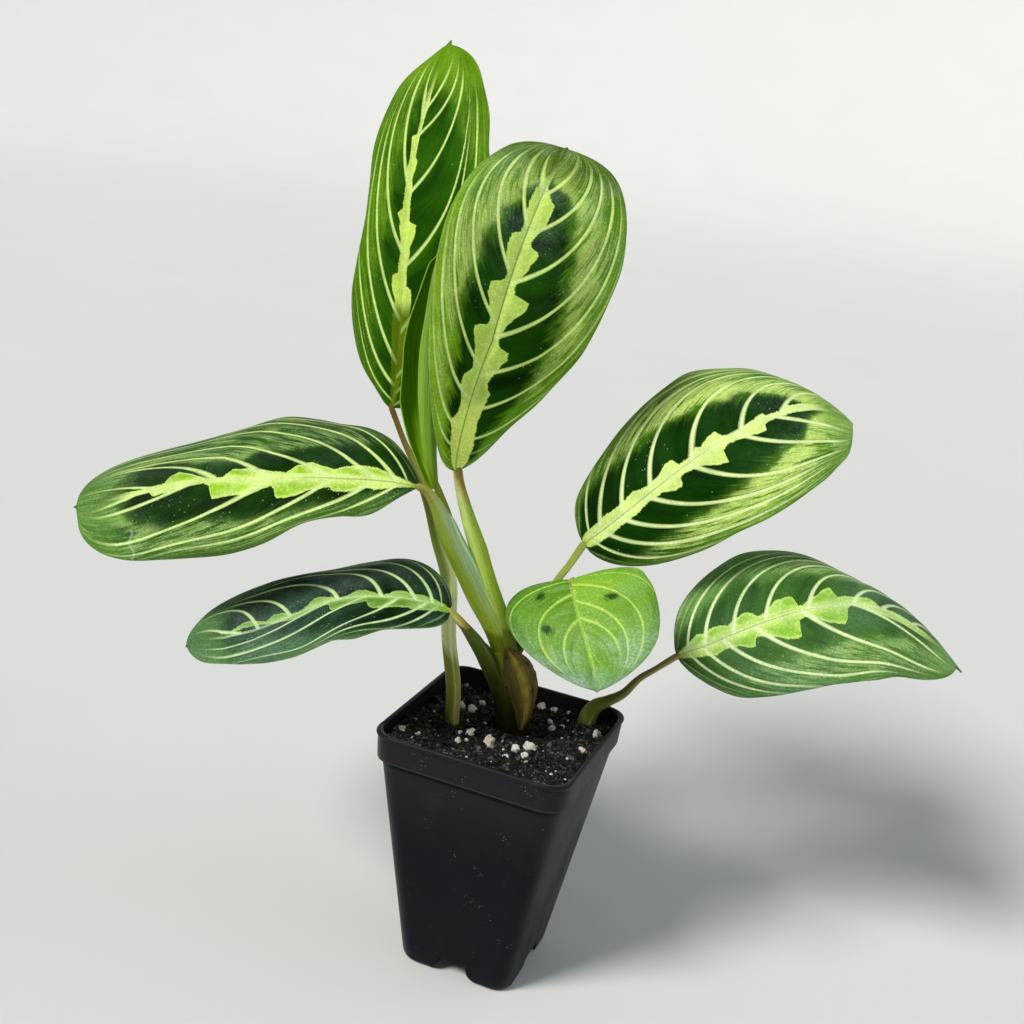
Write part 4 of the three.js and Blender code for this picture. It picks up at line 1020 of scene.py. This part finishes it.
def add_stalk(piece, name, rect, pulvinus=False, material=0):
    """Adds a stalk up to its pulvinus, or the pulvinus itself."""
    row_gap, around = 0.7, 36
    points, reached, radii = smooth_path(STALKS[name])
    total = reached[-1]
    leafed = name not in ("clump", "sheath_tip")
    if pulvinus:
        start, end = total - PULVINUS, total + PULVINUS_IN_BLADE
    else:
        start, end = 0, total - (PULVINUS - STALK_IN_PULVINUS if leafed else 0)
    at = np.linspace(start, end, max(12, int((end - start) / row_gap)))
    place = np.stack([np.interp(at, reached, points[:, k]) for k in range(3)], 1)
    along = unit(np.gradient(place, axis=0))
    if pulvinus:
        straight = unit(points[-1] - points[-3])
        place += straight * np.maximum(at - total, 0)[:, None]
        along[at > total - 1] = straight
    radius = np.interp(at, reached, radii)
    front = unit(TOWARD_VIEWER - along * (along @ TOWARD_VIEWER)[:, None])
    side = np.cross(along, front)
    angle = np.linspace(0, 2 * np.pi, around, endpoint=False)[None]
    part = (at / total)[:, None]

    ribs = 0.018 * np.sin(13 * angle + 2 * np.sin(at / 9)[:, None]) + 0.012 * np.sin(29 * angle)
    wobble = 0.03 * np.sin(at / 3.1)[:, None] * np.sin(angle + at[:, None] / 17)
    size = radius[:, None] * (1 + ribs + wobble)
    lap, brim_highlight = np.zeros_like(size), np.zeros_like(size)
    if name in SHEATHS and not pulvinus:
        side_at, height, last = SHEATHS[name]
        past = (np.degrees(angle) - side_at + 14 * np.sin(at / 23)[:, None]) % 360
        top = part + 0.16 * np.clip(past / 200, 0, 1)
        below = smooth(top, last, last - 0.025)
        lap = smooth(past, 0, 11) * smooth(past, 250, 30) * height * below
        # Painted highlight: a pale line along the sheath's free edge, which brightens the stalk's colour
        # there.
        brim_highlight = 0.3 * smooth(past, 1, 5) * smooth(past, 17, 9) * below
    size = size + lap
    if leafed and not pulvinus:
        size = size * (1 - 0.3 * smooth(at, end - 1.3, end))[:, None]
    if pulvinus:
        # The pulvinus swells a little, has rings of fine wrinkles, and ends round inside the blade.
        inner = (at - start) / PULVINUS
        bulge = 0.03 * np.sin(np.pi * np.clip(inner, 0, 1)) + 0.012 * np.sin(at * 5.2)
        bulge -= 0.2 * smooth(at - start, 0.8, 0)
        close = np.sqrt(np.clip(1 - np.maximum(at - total, 0) / (PULVINUS_IN_BLADE + 1e-3), 0.02, 1))
        size = size * ((1 + bulge) * close)[:, None]
    grid = (place[:, None] + front[:, None] * (np.cos(angle) * size)[..., None]
            + side[:, None] * (np.sin(angle) * size)[..., None])

    stops, *sides = zip(*STALK_LOOKS[name])
    slanted = part + 0.035 * np.cos(angle - 0.9)
    # Blends the two sides' colours round the stalk: where one side is paler, it holds a painted highlight.
    rightward = smooth((0.5 + 0.5 * np.sin(angle)) ** 1.2, 0.25, 0.75)[..., None]
    left, right = (
        np.stack([np.interp(slanted, stops, [rgb(*colour)[k] for colour in colours]) for k in range(3)], -1)
        for colours in sides)
    tint = (left * (1 - rightward) + right * rightward) * (1 + 2 * brim_highlight[..., None])
    points, faces, uvs = tube(grid, rect)
    piece.add(points, faces, uvs, material, tint=with_ends(tint),
              around=with_ends(np.broadcast_to(angle, size.shape)),
              run=with_ends(np.broadcast_to(at[:, None], size.shape)))


def stalk_material():
    sh = Shader("stalk", Specular_IOR_Level=0.12, Subsurface_Weight=0.1, Subsurface_Scale=0.002)
    around, run = sh.field("around"), sh.field("run")
    ring = sh.join(sh.math("SINE", around), sh.math("COSINE", around), sh.times(run, 0.008))
    streak = sh.noise(ring, 7.0, 4.0, 0.65)
    fine = sh.noise(ring, 22.0, 2.0, 0.6)
    place = sh.place()
    blotch = sh.noise(place, 320.0, 4.0, 0.6)
    colour = sh.field("tint", "Color")
    darker = sh.blend(1.0, colour, rgb(120, 128, 80), "MULTIPLY")
    colour = sh.blend(sh.step(streak, 0.42, 0.7, 0.0, 0.35), colour, darker)
    colour = sh.blend(sh.step(fine, 0.48, 0.72, 0.0, 0.4), colour, sh.brighter(colour, 1.7))
    dots = sh.step(sh.noise(place, 900.0, 2.0), 0.68, 0.74, 0.0, 0.5)
    colour = sh.blend(dots, colour, rgb(70, 46, 18))
    rough = sh.add(0.42, sh.times(blotch, 0.18))
    height = sh.add(sh.times(streak, 0.6), sh.add(sh.times(fine, 0.5), sh.times(blotch, 0.15)))
    return sh.end(colour, rough, height, 0.00025, 0.6)


# ---------------------------------------------------------------- rolled leaf and dry sheath


def rolled_piece(material):
    path = ROLLED["path"]
    points, _, _ = smooth_path(path)
    u = np.linspace(0, 1, ROLLED["rows"])
    spans = len(path) - 1
    index = np.linspace(0, spans, len(points))
    place = np.stack([np.interp(u * spans, index, points[:, k]) for k in range(3)], 1)
    along = unit(np.gradient(place, axis=0))
    radius = np.interp(u * spans, np.arange(spans + 1), [p[3] for p in path])
    radius *= 1 - smooth(u, 0.93, 1) * 0.75
    part = np.linspace(0, 1, ROLLED["columns"])[None]
    turn = np.radians(ROLLED["first_edge"] + ROLLED["turn"] * part)
    toward = np.stack([np.sin(turn), np.cos(turn), np.zeros_like(turn)], -1)
    toward = unit(toward - along[:, None] * (toward * along[:, None]).sum(-1, keepdims=True))
    open_, tucked, half = ROLLED["open"], ROLLED["tucked"], ROLLED["half_thickness"]
    frill = 1 + 0.05 * np.sin(u * 21)[:, None] * (1 - part) ** 3
    reach = radius[:, None] * (open_ + (tucked - open_) * part) * frill
    ribs = 0.05 * np.sin(part * 60 + 5 * u[:, None])
    outer = place[:, None] + toward * np.maximum(reach + half + ribs, 0.35)[..., None]
    inner = place[:, None] + toward * np.maximum(reach - half + ribs, 0.08)[..., None]
    piece = Piece()
    skin_blade(piece, inner, outer, (0, 0, 1, 1), along=u[:, None], across=part)
    piece.finish("leaf_rolled", [material], ["leaf_rolled"])


def rolled_material():
    sh = Shader("leaf_rolled", Specular_IOR_Level=0.08, Subsurface_Weight=0.08, Subsurface_Scale=0.0015)
    along, across, upper = sh.field("along"), sh.field("across"), sh.field("upper")
    slant = sh.add(sh.times(across, 16.0), sh.times(along, 2.5))
    vein = sh.step(sh.math("PINGPONG", slant, 0.5), 0.09, 0.03)
    stripes = sh.noise(sh.join(sh.times(slant, 4.0), sh.times(along, 3.0)), 1.0, 3.0, 0.6)
    mottle = sh.noise(sh.place(), 200.0, 3.0)
    inside = sh.blend(sh.step(stripes, 0.35, 0.7), rgb(96, 150, 12), rgb(120, 174, 22))
    inside = sh.blend(sh.times(vein, 0.25), inside, rgb(176, 206, 90))
    inside = sh.blend(sh.step(along, 0.55, 0.15, 0.0, 0.8), inside, rgb(150, 192, 30))
    outside = sh.blend(sh.step(stripes, 0.3, 0.7), rgb(122, 166, 48), rgb(142, 182, 68))
    outside = sh.blend(sh.step(along, 0.4, 0.1, 0.0, 0.9), outside, rgb(104, 134, 22))
    outside = sh.blend(sh.times(vein, 0.2), outside, rgb(160, 184, 116))
    colour = sh.blend(upper, outside, inside)
    colour = sh.blend(sh.step(mottle, 0.5, 0.75, 0.0, 0.25), colour, rgb(90, 120, 44))
    rough = sh.add(0.4, sh.times(mottle, 0.2))
    return sh.end(colour, rough, sh.add(stripes, sh.times(vein, -0.6)), 0.0002, 0.6)


def dry_sheath_piece(material):
    s, v = np.linspace(0.004, 0.996, DRY_SHEATH["rows"]), np.linspace(-1, 1, DRY_SHEATH["columns"])
    middle, made = blade(DRY_SHEATH, s, v)
    out = outward(middle, DRY_SHEATH)
    ribs = 0.09 * np.sin(v * 31)[None] + 0.12 * np.sin(s * 15)[:, None] * np.sin(v * 7 + 1)[None]
    fold = v[None] + 0.1 - 0.12 * np.sin(s * 3)[:, None]
    crease = 0.55 * np.exp(-(fold / 0.13) ** 2) - 0.3 * np.exp(-((fold - 0.32) / 0.14) ** 2)
    ribs = ribs + crease * np.sin(np.pi * s)[:, None]
    ragged = (0.14 * np.sin(s * 47 + 2 * np.sin(s * 19)) * np.sin(s * 13) + 0.1)[:, None] * made["q"] ** 4
    raised, half = 0.15 + ribs + ragged, DRY_SHEATH["half_thickness"]
    piece = Piece()
    skin_blade(piece, middle + out * (raised + half)[..., None], middle + out * (raised - half)[..., None],
               (0, 0, 1, 1), along=s[:, None], across=v[None], edge=(1 - made["q"]) * made["size"])
    piece.finish("dry_sheath", [material], ["dry_sheath"])


def dry_material():
    sh = Shader("dry_sheath", Specular_IOR_Level=0.25)
    along, across = sh.field("along"), sh.field("across")
    fibres = sh.noise(sh.join(sh.times(across, 14.0), sh.times(along, 2.5)), 1.0, 4.0, 0.7)
    blotch = sh.noise(sh.place(), 260.0, 4.0, 0.65)
    colour = sh.blend(sh.step(fibres, 0.35, 0.65), rgb(58, 50, 10), rgb(104, 90, 22))
    centre = sh.step(sh.math("ABSOLUTE", across), 0.4, 0.03, 0.0, 0.75)
    colour = sh.blend(centre, colour, rgb(136, 122, 36))
    dim = sh.times(sh.step(across, 0.1, -0.75, 0.0, 0.8), sh.step(fibres, 0.2, 0.6, 0.7, 1.0))
    colour = sh.blend(dim, colour, rgb(36, 38, 8))
    colour = sh.blend(sh.step(blotch, 0.45, 0.62, 0.0, 0.5), colour, rgb(74, 54, 14))
    colour = sh.blend(sh.step(blotch, 0.62, 0.66), colour, rgb(24, 16, 6))
    colour = sh.blend(sh.step(sh.field("edge"), 0.5, 0.1, 0.0, 0.7), colour, rgb(56, 42, 12))
    rough = sh.add(0.6, sh.times(fibres, 0.2))
    return sh.end(colour, rough, sh.add(fibres, blotch), 0.0004, 0.8)


# ---------------------------------------------------------------- pot


def square_ring(half, corner, z, side_steps=1, corner_steps=12):
    """Points round a square ring with round corners."""
    straight = half - corner
    side = np.linspace(-straight, straight, side_steps, endpoint=False)
    angle = np.linspace(0, np.pi / 2, corner_steps, endpoint=False)
    x = np.concatenate([np.full(side_steps, half), straight + corner * np.cos(angle)])
    y = np.concatenate([side, straight + corner * np.sin(angle)])
    ring = [np.stack([x * math.cos(a) - y * math.sin(a), x * math.sin(a) + y * math.cos(a)], 1)
            for a in np.arange(4) * np.pi / 2]
    ring = np.concatenate(ring)
    return np.column_stack([ring, np.full(len(ring), float(z))])


def body_half(z):
    return POT["bottom_half"] + (POT["body_top_half"] - POT["bottom_half"]) * z / POT["band_bottom"]


def pot_ring(half, z, steps=6):
    corner = POT["bottom_corner"] + (POT["top_corner"] - POT["bottom_corner"]) * z / POT["height"]
    return square_ring(half, corner, z, steps)


def solid_of(grid, name):
    """A plain closed object from rings, for cutting and being cut."""
    points, (quads, fans), _ = tube(np.array(grid), (0, 0, 1, 1))
    triangles = np.concatenate([quads[:, [0, 1, 2]], quads[:, [0, 2, 3]], fans])
    a, b, c = (points[triangles[:, k]] for k in range(3))
    if (np.cross(a, b) * c).sum() < 0:
        quads, fans = quads[:, ::-1], fans[:, ::-1]
    mesh = bpy.data.meshes.new(name)
    mesh.from_pydata((points * MM + ORIGIN).tolist(), [], quads.tolist() + fans.tolist())
    return add_object(name, mesh)


def pot_outside():
    p = POT
    lip = p["height"] - p["lip_height"]
    rings = [pot_ring(p["bottom_half"] - p["bottom_round"] * (1 - math.sin(b)),
                      p["bottom_round"] * (1 - math.cos(b))) for b in np.radians(np.linspace(0, 80, 6))]
    rings += [pot_ring(body_half(z), z) for z in np.linspace(2.2, p["band_bottom"] - 0.5, 14)]
    rings += [
        pot_ring(p["body_top_half"] - 0.05, p["band_bottom"] - 0.1),
        pot_ring(p["band_bottom_half"] - 0.35, p["band_bottom"] + 0.05),
        pot_ring(p["band_bottom_half"] - 0.08, p["band_bottom"] + 0.2),
        pot_ring(p["band_bottom_half"], p["band_bottom"] + p["band_step"] + 0.1),
        pot_ring(p["band_top_half"] - 0.02, lip - 0.3), pot_ring(p["band_top_half"], lip - 0.05),
    ]
    for b in np.radians(np.linspace(-90, 90, 9)):
        middle = p["height"] - p["lip_height"] / 2
        rings.append(pot_ring(p["top_half"] - p["lip_round"] * (1 - math.cos(b)),
                              middle + math.sin(b) * p["lip_height"] / 2))
    return rings


def pot_inside():
    p = POT
    wall = p["wall"]
    step = p["band_bottom"] + wall
    rings = [pot_ring(body_half(wall + h) - wall - 1.2 * (1 - math.sin(a)), wall + h)
             for a, h in ((0.0, 0.0), (0.6, 0.25), (1.2, 0.8), (math.pi / 2, 1.4))]
    rings += [pot_ring(body_half(z) - wall, z) for z in np.linspace(6, step, 12)]
    rings += [
        pot_ring(p["band_bottom_half"] - wall, step + p["band_step"]),
        pot_ring(p["top_half"] - wall - 0.45, p["height"] - 1.0),
        pot_ring(p["top_half"] - wall - 0.35, p["height"] - 0.35),
        pot_ring(p["top_half"] - wall + 0.05, p["height"]),
        pot_ring(p["top_half"] - wall + 0.5, p["height"] + 1),
    ]
    return rings


def channel_bar(grow, turned):
    """One of the two flared channels under the pot's floor."""
    p = POT
    half, top, round_ = p["notch_width"] / 2 + grow, p["notch_height"] + grow, p["foot_round"] - grow
    arc = np.radians(np.linspace(-90, -180, 10))
    right = [(half + round_ + round_ * math.cos(a), round_ + round_ * math.sin(a)) for a in arc]
    top_round = [(half - 0.8 * (1 - math.cos(a)), top - 0.8 * (1 - math.sin(a)))
                 for a in np.radians(np.linspace(0, 90, 5))]
    right = [(half + round_, -1), *right, *top_round]
    outline = right + [(-x, z) for x, z in right[::-1]]
    rows = []
    for y in (-p["top_half"], p["top_half"]):
        rows.append([(x, y, z) if not turned else (-y, x, z) for x, z in outline])
    return solid_of(rows, "cutter")


def drain_hole(x, y):
    around, depth = 28, 3
    angle = np.linspace(0, 2 * np.pi, around, endpoint=False)
    radius, z = POT["drain_hole"], POT["notch_height"] + POT["wall"]
    ring = [x + radius * np.cos(angle), y + radius * np.sin(angle)]
    rows = [np.column_stack([*ring, np.full(around, z + h)]) for h in (-depth, depth)]
    return solid_of(rows, "cutter")


def carve(target, cutters):
    for cutter in cutters:
        change = target.modifiers.new("cut", "BOOLEAN")
        change.operation, change.solver, change.object = "DIFFERENCE", "EXACT", cutter
    bpy.context.view_layer.update()
    shape = bpy.data.meshes.new_from_object(target.evaluated_get(bpy.context.evaluated_depsgraph_get()))
    target.modifiers.clear()
    target.data = shape
    for cutter in cutters:
        bpy.data.objects.remove(cutter)
    return target


def pot_piece(material):
    reach = POT["drain_reach"]
    cavity = carve(solid_of(pot_inside(), "cavity"), [channel_bar(POT["wall"], t) for t in (False, True)])
    holes = [drain_hole(x, y) for x, y in ((0, 0), (reach, 0), (-reach, 0), (0, reach), (0, -reach))]
    pot = solid_of(pot_outside(), "nursery_pot")
    carve(pot, [channel_bar(0, False), channel_bar(0, True), cavity, *holes])
    pot.data.materials.append(material)
    pot.data.shade_smooth()
    pot.data.set_sharp_from_angle(angle=math.radians(40))
    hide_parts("pot")
    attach(pot, "root")


def pot_material():
    sh = Shader("pot_plastic", Specular_IOR_Level=0.12, Specular_Tint=(0.5, 0.8, 1.0, 1.0))
    place = sh.place()
    broad = sh.noise(place, 30.0, 3.0, 0.6)
    grain = sh.noise(place, 900.0, 3.0, 0.6)
    stretched = sh.put("Mapping", {"Vector": place, "Scale": (1.0, 1.0, 0.12)})
    scuff = sh.noise(stretched, 420.0, 4.0, 0.7)
    height = sh.put("SeparateXYZ", {"Vector": place}, 2)
    colour = sh.blend(broad, rgb(9, 9, 14), rgb(14, 14, 21))
    colour = sh.blend(sh.step(height, 0.045, 0.082, 0.0, 0.7), colour, rgb(42, 35, 37))
    # Painted shadow: a dark line just under the band's step.
    under_band_shadow = sh.math("ABSOLUTE", sh.add(height, -0.0755))
    colour = sh.blend(sh.step(under_band_shadow, 0.0013, 0.0004, 0.0, 0.85), colour, rgb(2, 2, 3))
    # Painted highlight: a pale thin line along the band's lower edge.
    band_edge_highlight = sh.math("ABSOLUTE", sh.add(height, -0.0768))
    colour = sh.blend(sh.step(band_edge_highlight, 0.0006, 0.0001, 0.0, 0.4), colour, rgb(66, 66, 76))
    colour = sh.blend(sh.step(scuff, 0.6, 0.78, 0.0, 0.25), colour, rgb(40, 44, 54))
    dust = sh.step(sh.noise(place, 70.0, 5.0, 0.7), 0.5, 0.8)
    dust = sh.times(dust, sh.step(height, 0.03, 0.086, 0.1, 0.35))
    colour = sh.blend(dust, colour, rgb(54, 50, 50))
    speck_size = sh.step(sh.noise(place, 120.0, 2.0), 0.52, 0.74, 0.0, 0.16)
    speck = sh.math("LESS_THAN", sh.cells(place, 1100.0), speck_size)
    colour = sh.blend(sh.times(speck, 0.6), colour, rgb(176, 174, 166))
    rough = sh.add(sh.step(broad, 0.3, 0.7, 0.3, 0.4), sh.times(sh.add(scuff, -0.4), 0.25))
    bump = sh.add(sh.times(grain, 0.5), sh.times(speck, 1.2))
    return sh.end(colour, rough, bump, 0.00005, 0.5)


# ---------------------------------------------------------------- soil


def soil_top(x, y):
    s = SOIL
    return (s["level"] - s["rise_to_front"] * y + s["rise_to_right"] * x
            + s["front_rise"] * smooth(-y, 17, 29)
            + s["lumps"] * np.sin(0.31 * x + 1) * np.sin(0.27 * y + 2)
            + s["lumps"] * 0.4 * np.sin(0.8 * x + 0.6 * y))


def rough_ground(x, y):
    """The small lumps of the soil at one place."""
    at = Vector((x, y, 0.0))
    lumps = noise.fractal(at * 0.32, 0.9, 2.1, 4) * 0.9
    grains = noise.fractal(at * 1.1 + Vector((9, 4, 2)), 0.7, 2.2, 3) * 0.42
    pit = abs(noise.noise(at * 0.6 + Vector((3, 7, 5))))
    return lumps + grains - 0.6 * pit


def soil_piece(material):
    rings, side_points = SOIL["rings"], SOIL["side_points"]
    edge = POT["band_bottom_half"] - POT["wall"] - SOIL["clear"]
    down = np.linspace(SOIL["bottom"], POT["band_bottom"] - 2, 6)
    grid = [pot_ring(body_half(z) - POT["wall"] - SOIL["clear"], z, side_points) for z in down]
    for i in range(rings):
        half = edge * (1 - i / rings)
        ring = square_ring(half, POT["top_corner"] * half / edge, 0, side_points)
        x, y = ring[:, 0], ring[:, 1]
        rough = np.array([rough_ground(a, b) for a, b in zip(x, y)])
        ring[:, 2] = soil_top(x, y) + rough * (1 if i else 0.3)
        grid.append(ring)
    rim = grid[len(down)]
    rim[:, 2] = np.maximum(rim[:, 2], POT["band_bottom"] + 2)
    points, faces, uvs = tube(np.array(grid), (0, 0, 1, 1))
    piece = Piece()
    piece.add(points, faces, uvs)
    piece.finish("soil", [material], ["soil"])


def soil_material():
    sh = Shader("soil", Specular_IOR_Level=0.25)
    place = sh.place()
    clods = sh.noise(place, 300.0, 6.0, 0.7)
    grains = sh.cells(place, 1100.0)
    shade = sh.cells(place, 700.0, "Color")
    pick = sh.put("SeparateColor", {"Color": shade}, 0)
    colour = sh.blend(sh.step(clods, 0.3, 0.65), rgb(6, 6, 7), rgb(38, 34, 34))
    colour = sh.blend(sh.step(pick, 0.84, 0.96, 0.0, 0.7), colour, rgb(106, 100, 98))
    tiny = sh.put("SeparateColor", {"Color": sh.cells(place, 1900.0, "Color")}, 1)
    colour = sh.blend(sh.step(tiny, 0.88, 0.97, 0.0, 0.7), colour, rgb(128, 122, 118))
    colour = sh.blend(sh.step(pick, 0.25, 0.05, 0.0, 0.7), colour, rgb(4, 4, 4))
    rough = sh.add(0.75, sh.times(clods, 0.2))
    return sh.end(colour, rough, sh.add(sh.times(clods, 1.2), sh.times(grains, 0.6)), 0.0012, 1.0)


def ball(detail):
    """Points and triangles of a round body of unit size."""
    made = bmesh.new()
    bmesh.ops.create_icosphere(made, subdivisions=detail, radius=1.0)
    points = np.array([v.co[:] for v in made.verts])
    faces = np.array([[v.index for v in f.verts] for f in made.faces])
    made.free()
    return points, faces


def turned(rng):
    """A random rotation."""
    return np.array(Matrix.Rotation(rng.uniform(0, 6.3), 3, Vector(rng.normal(size=3)).normalized()))


def add_lump(piece, shape, centre, size, rng, rough, **fields):
    """Adds a ball that is swollen at random, stretched to a size and turned at random."""
    points, faces = shape
    phase = rng.uniform(0, 6.3, 6)
    swell = (np.sin(points @ [2.1, 1.3, 0.7] + phase[0])
             + np.sin(points @ [-1.1, 2.6, 1.9] * 1.4 + phase[1])
             + 0.7 * np.sin(points @ [3.1, -2.2, 2.7] * 1.9 + phase[2]))
    made = points * (1 + rough * swell[:, None] / 2) * np.asarray(size) @ turned(rng).T + centre
    corner = rng.uniform(0.02, 0.9, 2) + np.array([[0, 0], [0.01, 0], [0, 0.01]])
    piece.add(made, (faces,), (np.broadcast_to(corner, (len(faces), 3, 2)),), **fields)


def scatter(rng, count, clear):
    """Free places on the soil, away from the stalks."""
    feet = [path[1] for path in STALKS.values() if path[1][2] < 90]
    reach = POT["top_half"] - POT["wall"] - 2.5
    places = []
    while len(places) < count:
        x, y = rng.uniform(-reach, reach, 2)
        if all(math.hypot(x - foot[0], y - foot[1]) > clear for foot in feet):
            places.append((x, y))
    return places


def ground(x, y):
    return float(soil_top(x, y)) + rough_ground(x, y)


def perlite_piece(material):
    rng = np.random.default_rng(7)
    piece = Piece()
    large, small = ball(4), ball(3)
    for x, y, radius in BIG_CRUMBS:
        size = radius * rng.uniform(0.85, 1.15, 3) * (1, 0.9, 0.8)
        add_lump(piece, large, (x, y, ground(x, y) + radius * 0.25), size, rng, 0.24)
    for x, y in scatter(rng, SMALL_CRUMBS, clear=5):
        radius = rng.uniform(0.4, 0.92) ** 2
        size = radius * rng.uniform(0.8, 1.2, 3)
        add_lump(piece, small, (x, y, ground(x, y) + radius * 0.2), size, rng, 0.26)
    piece.finish("perlite", [material])


def perlite_material():
    sh = Shader("perlite", Specular_IOR_Level=0.3, Subsurface_Weight=0.15, Subsurface_Scale=0.001)
    place = sh.place()
    pits = sh.cells(place, 1500.0)
    stain = sh.noise(place, 500.0, 4.0, 0.6)
    colour = sh.blend(sh.step(stain, 0.4, 0.7), rgb(236, 232, 222), rgb(176, 160, 132))
    colour = sh.blend(sh.step(pits, 0.25, 0.05, 0.0, 0.5), colour, rgb(120, 106, 88))
    rough = sh.add(0.7, sh.times(stain, 0.2))
    return sh.end(colour, rough, pits, 0.0004, 0.8)


def litter_piece(material):
    """Bark chips, peat crumbs and fibres that lie on the soil."""
    rng = np.random.default_rng(23)
    piece = Piece()
    shades = [rgb(16, 13, 13), rgb(34, 29, 28), rgb(72, 66, 64), rgb(8, 7, 8), rgb(108, 102, 98)]
    chance = [0.31, 0.27, 0.16, 0.18, 0.08]
    shape = ball(2)
    for x, y in scatter(rng, CHIPS, clear=3.4):
        radius = rng.uniform(0.25, 0.95) ** 1.4
        size = radius * np.array([rng.uniform(0.9, 1.9), rng.uniform(0.6, 1.0), rng.uniform(0.35, 0.8)])
        tint = shades[rng.choice(5, p=chance)][:3]
        add_lump(piece, shape, (x, y, ground(x, y) + radius * 0.15), size, rng, 0.34,
                 tint=np.broadcast_to(tint, (len(shape[0]), 3)))
    reach = POT["top_half"] - POT["wall"] - 1.6
    t = np.linspace(0, 1, 14)
    angle = np.linspace(0, 2 * np.pi, 7, endpoint=False)[None, :, None]
    for x, y in scatter(rng, FIBRES, clear=4):
        length, turn = rng.uniform(3, 9), rng.uniform(0, 6.3)
        bend = rng.uniform(-1.6, 1.6)
        dx, dy = math.cos(turn), math.sin(turn)
        px = x + dx * length * (t - 0.5) - dy * bend * np.sin(np.pi * t)
        py = y + dy * length * (t - 0.5) + dx * bend * np.sin(np.pi * t)
        px, py = np.clip(px, -reach, reach), np.clip(py, -reach, reach)
        arch = 0.25 + 0.5 * np.sin(np.pi * t) * rng.uniform(0, 1)
        pz = np.array([ground(a, b) for a, b in zip(px, py)]) + arch
        place = np.stack([px, py, pz], 1)
        along = unit(np.gradient(place, axis=0))
        side = unit(np.cross(along, [0, 0, 1.0]))
        radius = rng.uniform(0.09, 0.2) * (1 - 0.5 * t)[:, None, None]
        ring = np.cos(angle) * side[:, None] + np.sin(angle) * np.cross(side, along)[:, None]
        points, faces, uvs = tube(place[:, None] + radius * ring, (0.05, 0.05, 0.95, 0.95))
        tint = shades[rng.choice([1, 2, 4])][:3]
        piece.add(points, faces, uvs, tint=np.broadcast_to(tint, (len(points), 3)))
    piece.finish("soil_litter", [material])


def litter_material():
    sh = Shader("soil_litter", Specular_IOR_Level=0.3)
    place = sh.place()
    grain = sh.noise(place, 900.0, 5.0, 0.7)
    colour = sh.blend(sh.step(grain, 0.35, 0.7), sh.field("tint", "Color"), rgb(9, 7, 7))
    rough = sh.add(0.7, sh.times(grain, 0.2))
    return sh.end(colour, rough, grain, 0.0006, 1.0)


# ---------------------------------------------------------------- the plant

stalk_skin = stalk_material()

pot_piece(pot_material())
soil_piece(soil_material())
perlite_piece(perlite_material())
litter_piece(litter_material())

for node, names in STEMS.items():
    stem = Piece()
    for i, name in enumerate(names):
        low = i / len(names)
        add_stalk(stem, name, (0.0, low, 1.0, low + 0.97 / len(names)))
    stem.finish(node, [stalk_skin], [node])

dry_sheath_piece(dry_material())
rolled_piece(rolled_material())
for name, leaf in LEAVES.items():
    leaf_piece(name, leaf, LOOKS[name], stalk_skin)

# ---------------------------------------------------------------- floor, light and camera


def floor():
    """A pale floor that rises smoothly into a wall far away all round."""
    around = 96
    angle = np.linspace(0, 2 * np.pi, around, endpoint=False)
    flat, out, high, below = FLOOR["flat"], FLOOR["far"] - FLOOR["flat"], FLOOR["high"], FLOOR["below"]
    profile = [(r, 0.0) for r in (0.2, 0.6, 1.5, 2.5)]
    for a in np.linspace(0, np.pi / 2, 24):
        profile.append((flat + out * math.sin(a), high * (1 - math.cos(a))))
    rows = [[(r * math.cos(a), r * math.sin(a), h - below) for a in angle] for r, h in profile]
    mesh = bpy.data.meshes.new("floor")
    quads, _ = strip(len(rows), around, [*range(around), 0], (0, 0, 1, 1))
    middle = list(range(around))[::-1]
    mesh.from_pydata(np.array(rows).reshape(-1, 3).tolist(), [], [*quads.tolist(), middle])
    mesh.shade_smooth()
    made = add_object("floor", mesh)
    sh = Shader("floor", Specular_IOR_Level=0.15)
    place = sh.place()
    tone = sh.noise(place, 6.0, 3.0, 0.5)
    grain = sh.noise(place, 900.0, 2.0, 0.5)
    colour = sh.blend(tone, rgb(228, 227, 225), rgb(233, 232, 230))
    mesh.materials.append(sh.end(colour, sh.add(0.8, sh.times(tone, 0.1)), grain, 0.00003, 0.3))


def sun(name, place, strength, spread, colour):
    """A wide soft light that shines from place towards the origin."""
    data = bpy.data.lights.new(name, "SUN")
    data.energy, data.angle, data.color = strength, math.radians(spread), colour
    made = add_object(name, data)
    made.rotation_euler = (-Vector(place)).to_track_quat("-Z", "Y").to_euler()


floor()
for name, values in SUNS.items():
    sun(name, *values)

world = bpy.data.worlds.new("studio")
world.use_nodes = True
sky = world.node_tree.nodes["Background"].inputs
sky["Color"].default_value, sky["Strength"].default_value = SKY, SKY_STRENGTH
bpy.context.scene.world = world
bpy.context.scene.view_settings.view_transform = "Standard"

camera_data = bpy.data.cameras.new("camera")
camera_data.lens, camera_data.sensor_width = CAMERA["lens"], CAMERA["sensor"]
camera_data.clip_start, camera_data.clip_end = CAMERA["nearest"], CAMERA["farthest"]
camera = add_object("camera", camera_data)
right_way, forward_way = (Vector(CAMERA[key]).normalized() for key in ("right", "forward"))
up_way = right_way.cross(forward_way)
axes = Matrix((right_way, up_way, -forward_way)).transposed().to_4x4()
camera.matrix_world = Matrix.Translation(Vector(np.array(CAMERA["place"]) * MM + ORIGIN)) @ axes
bpy.context.scene.camera = camera
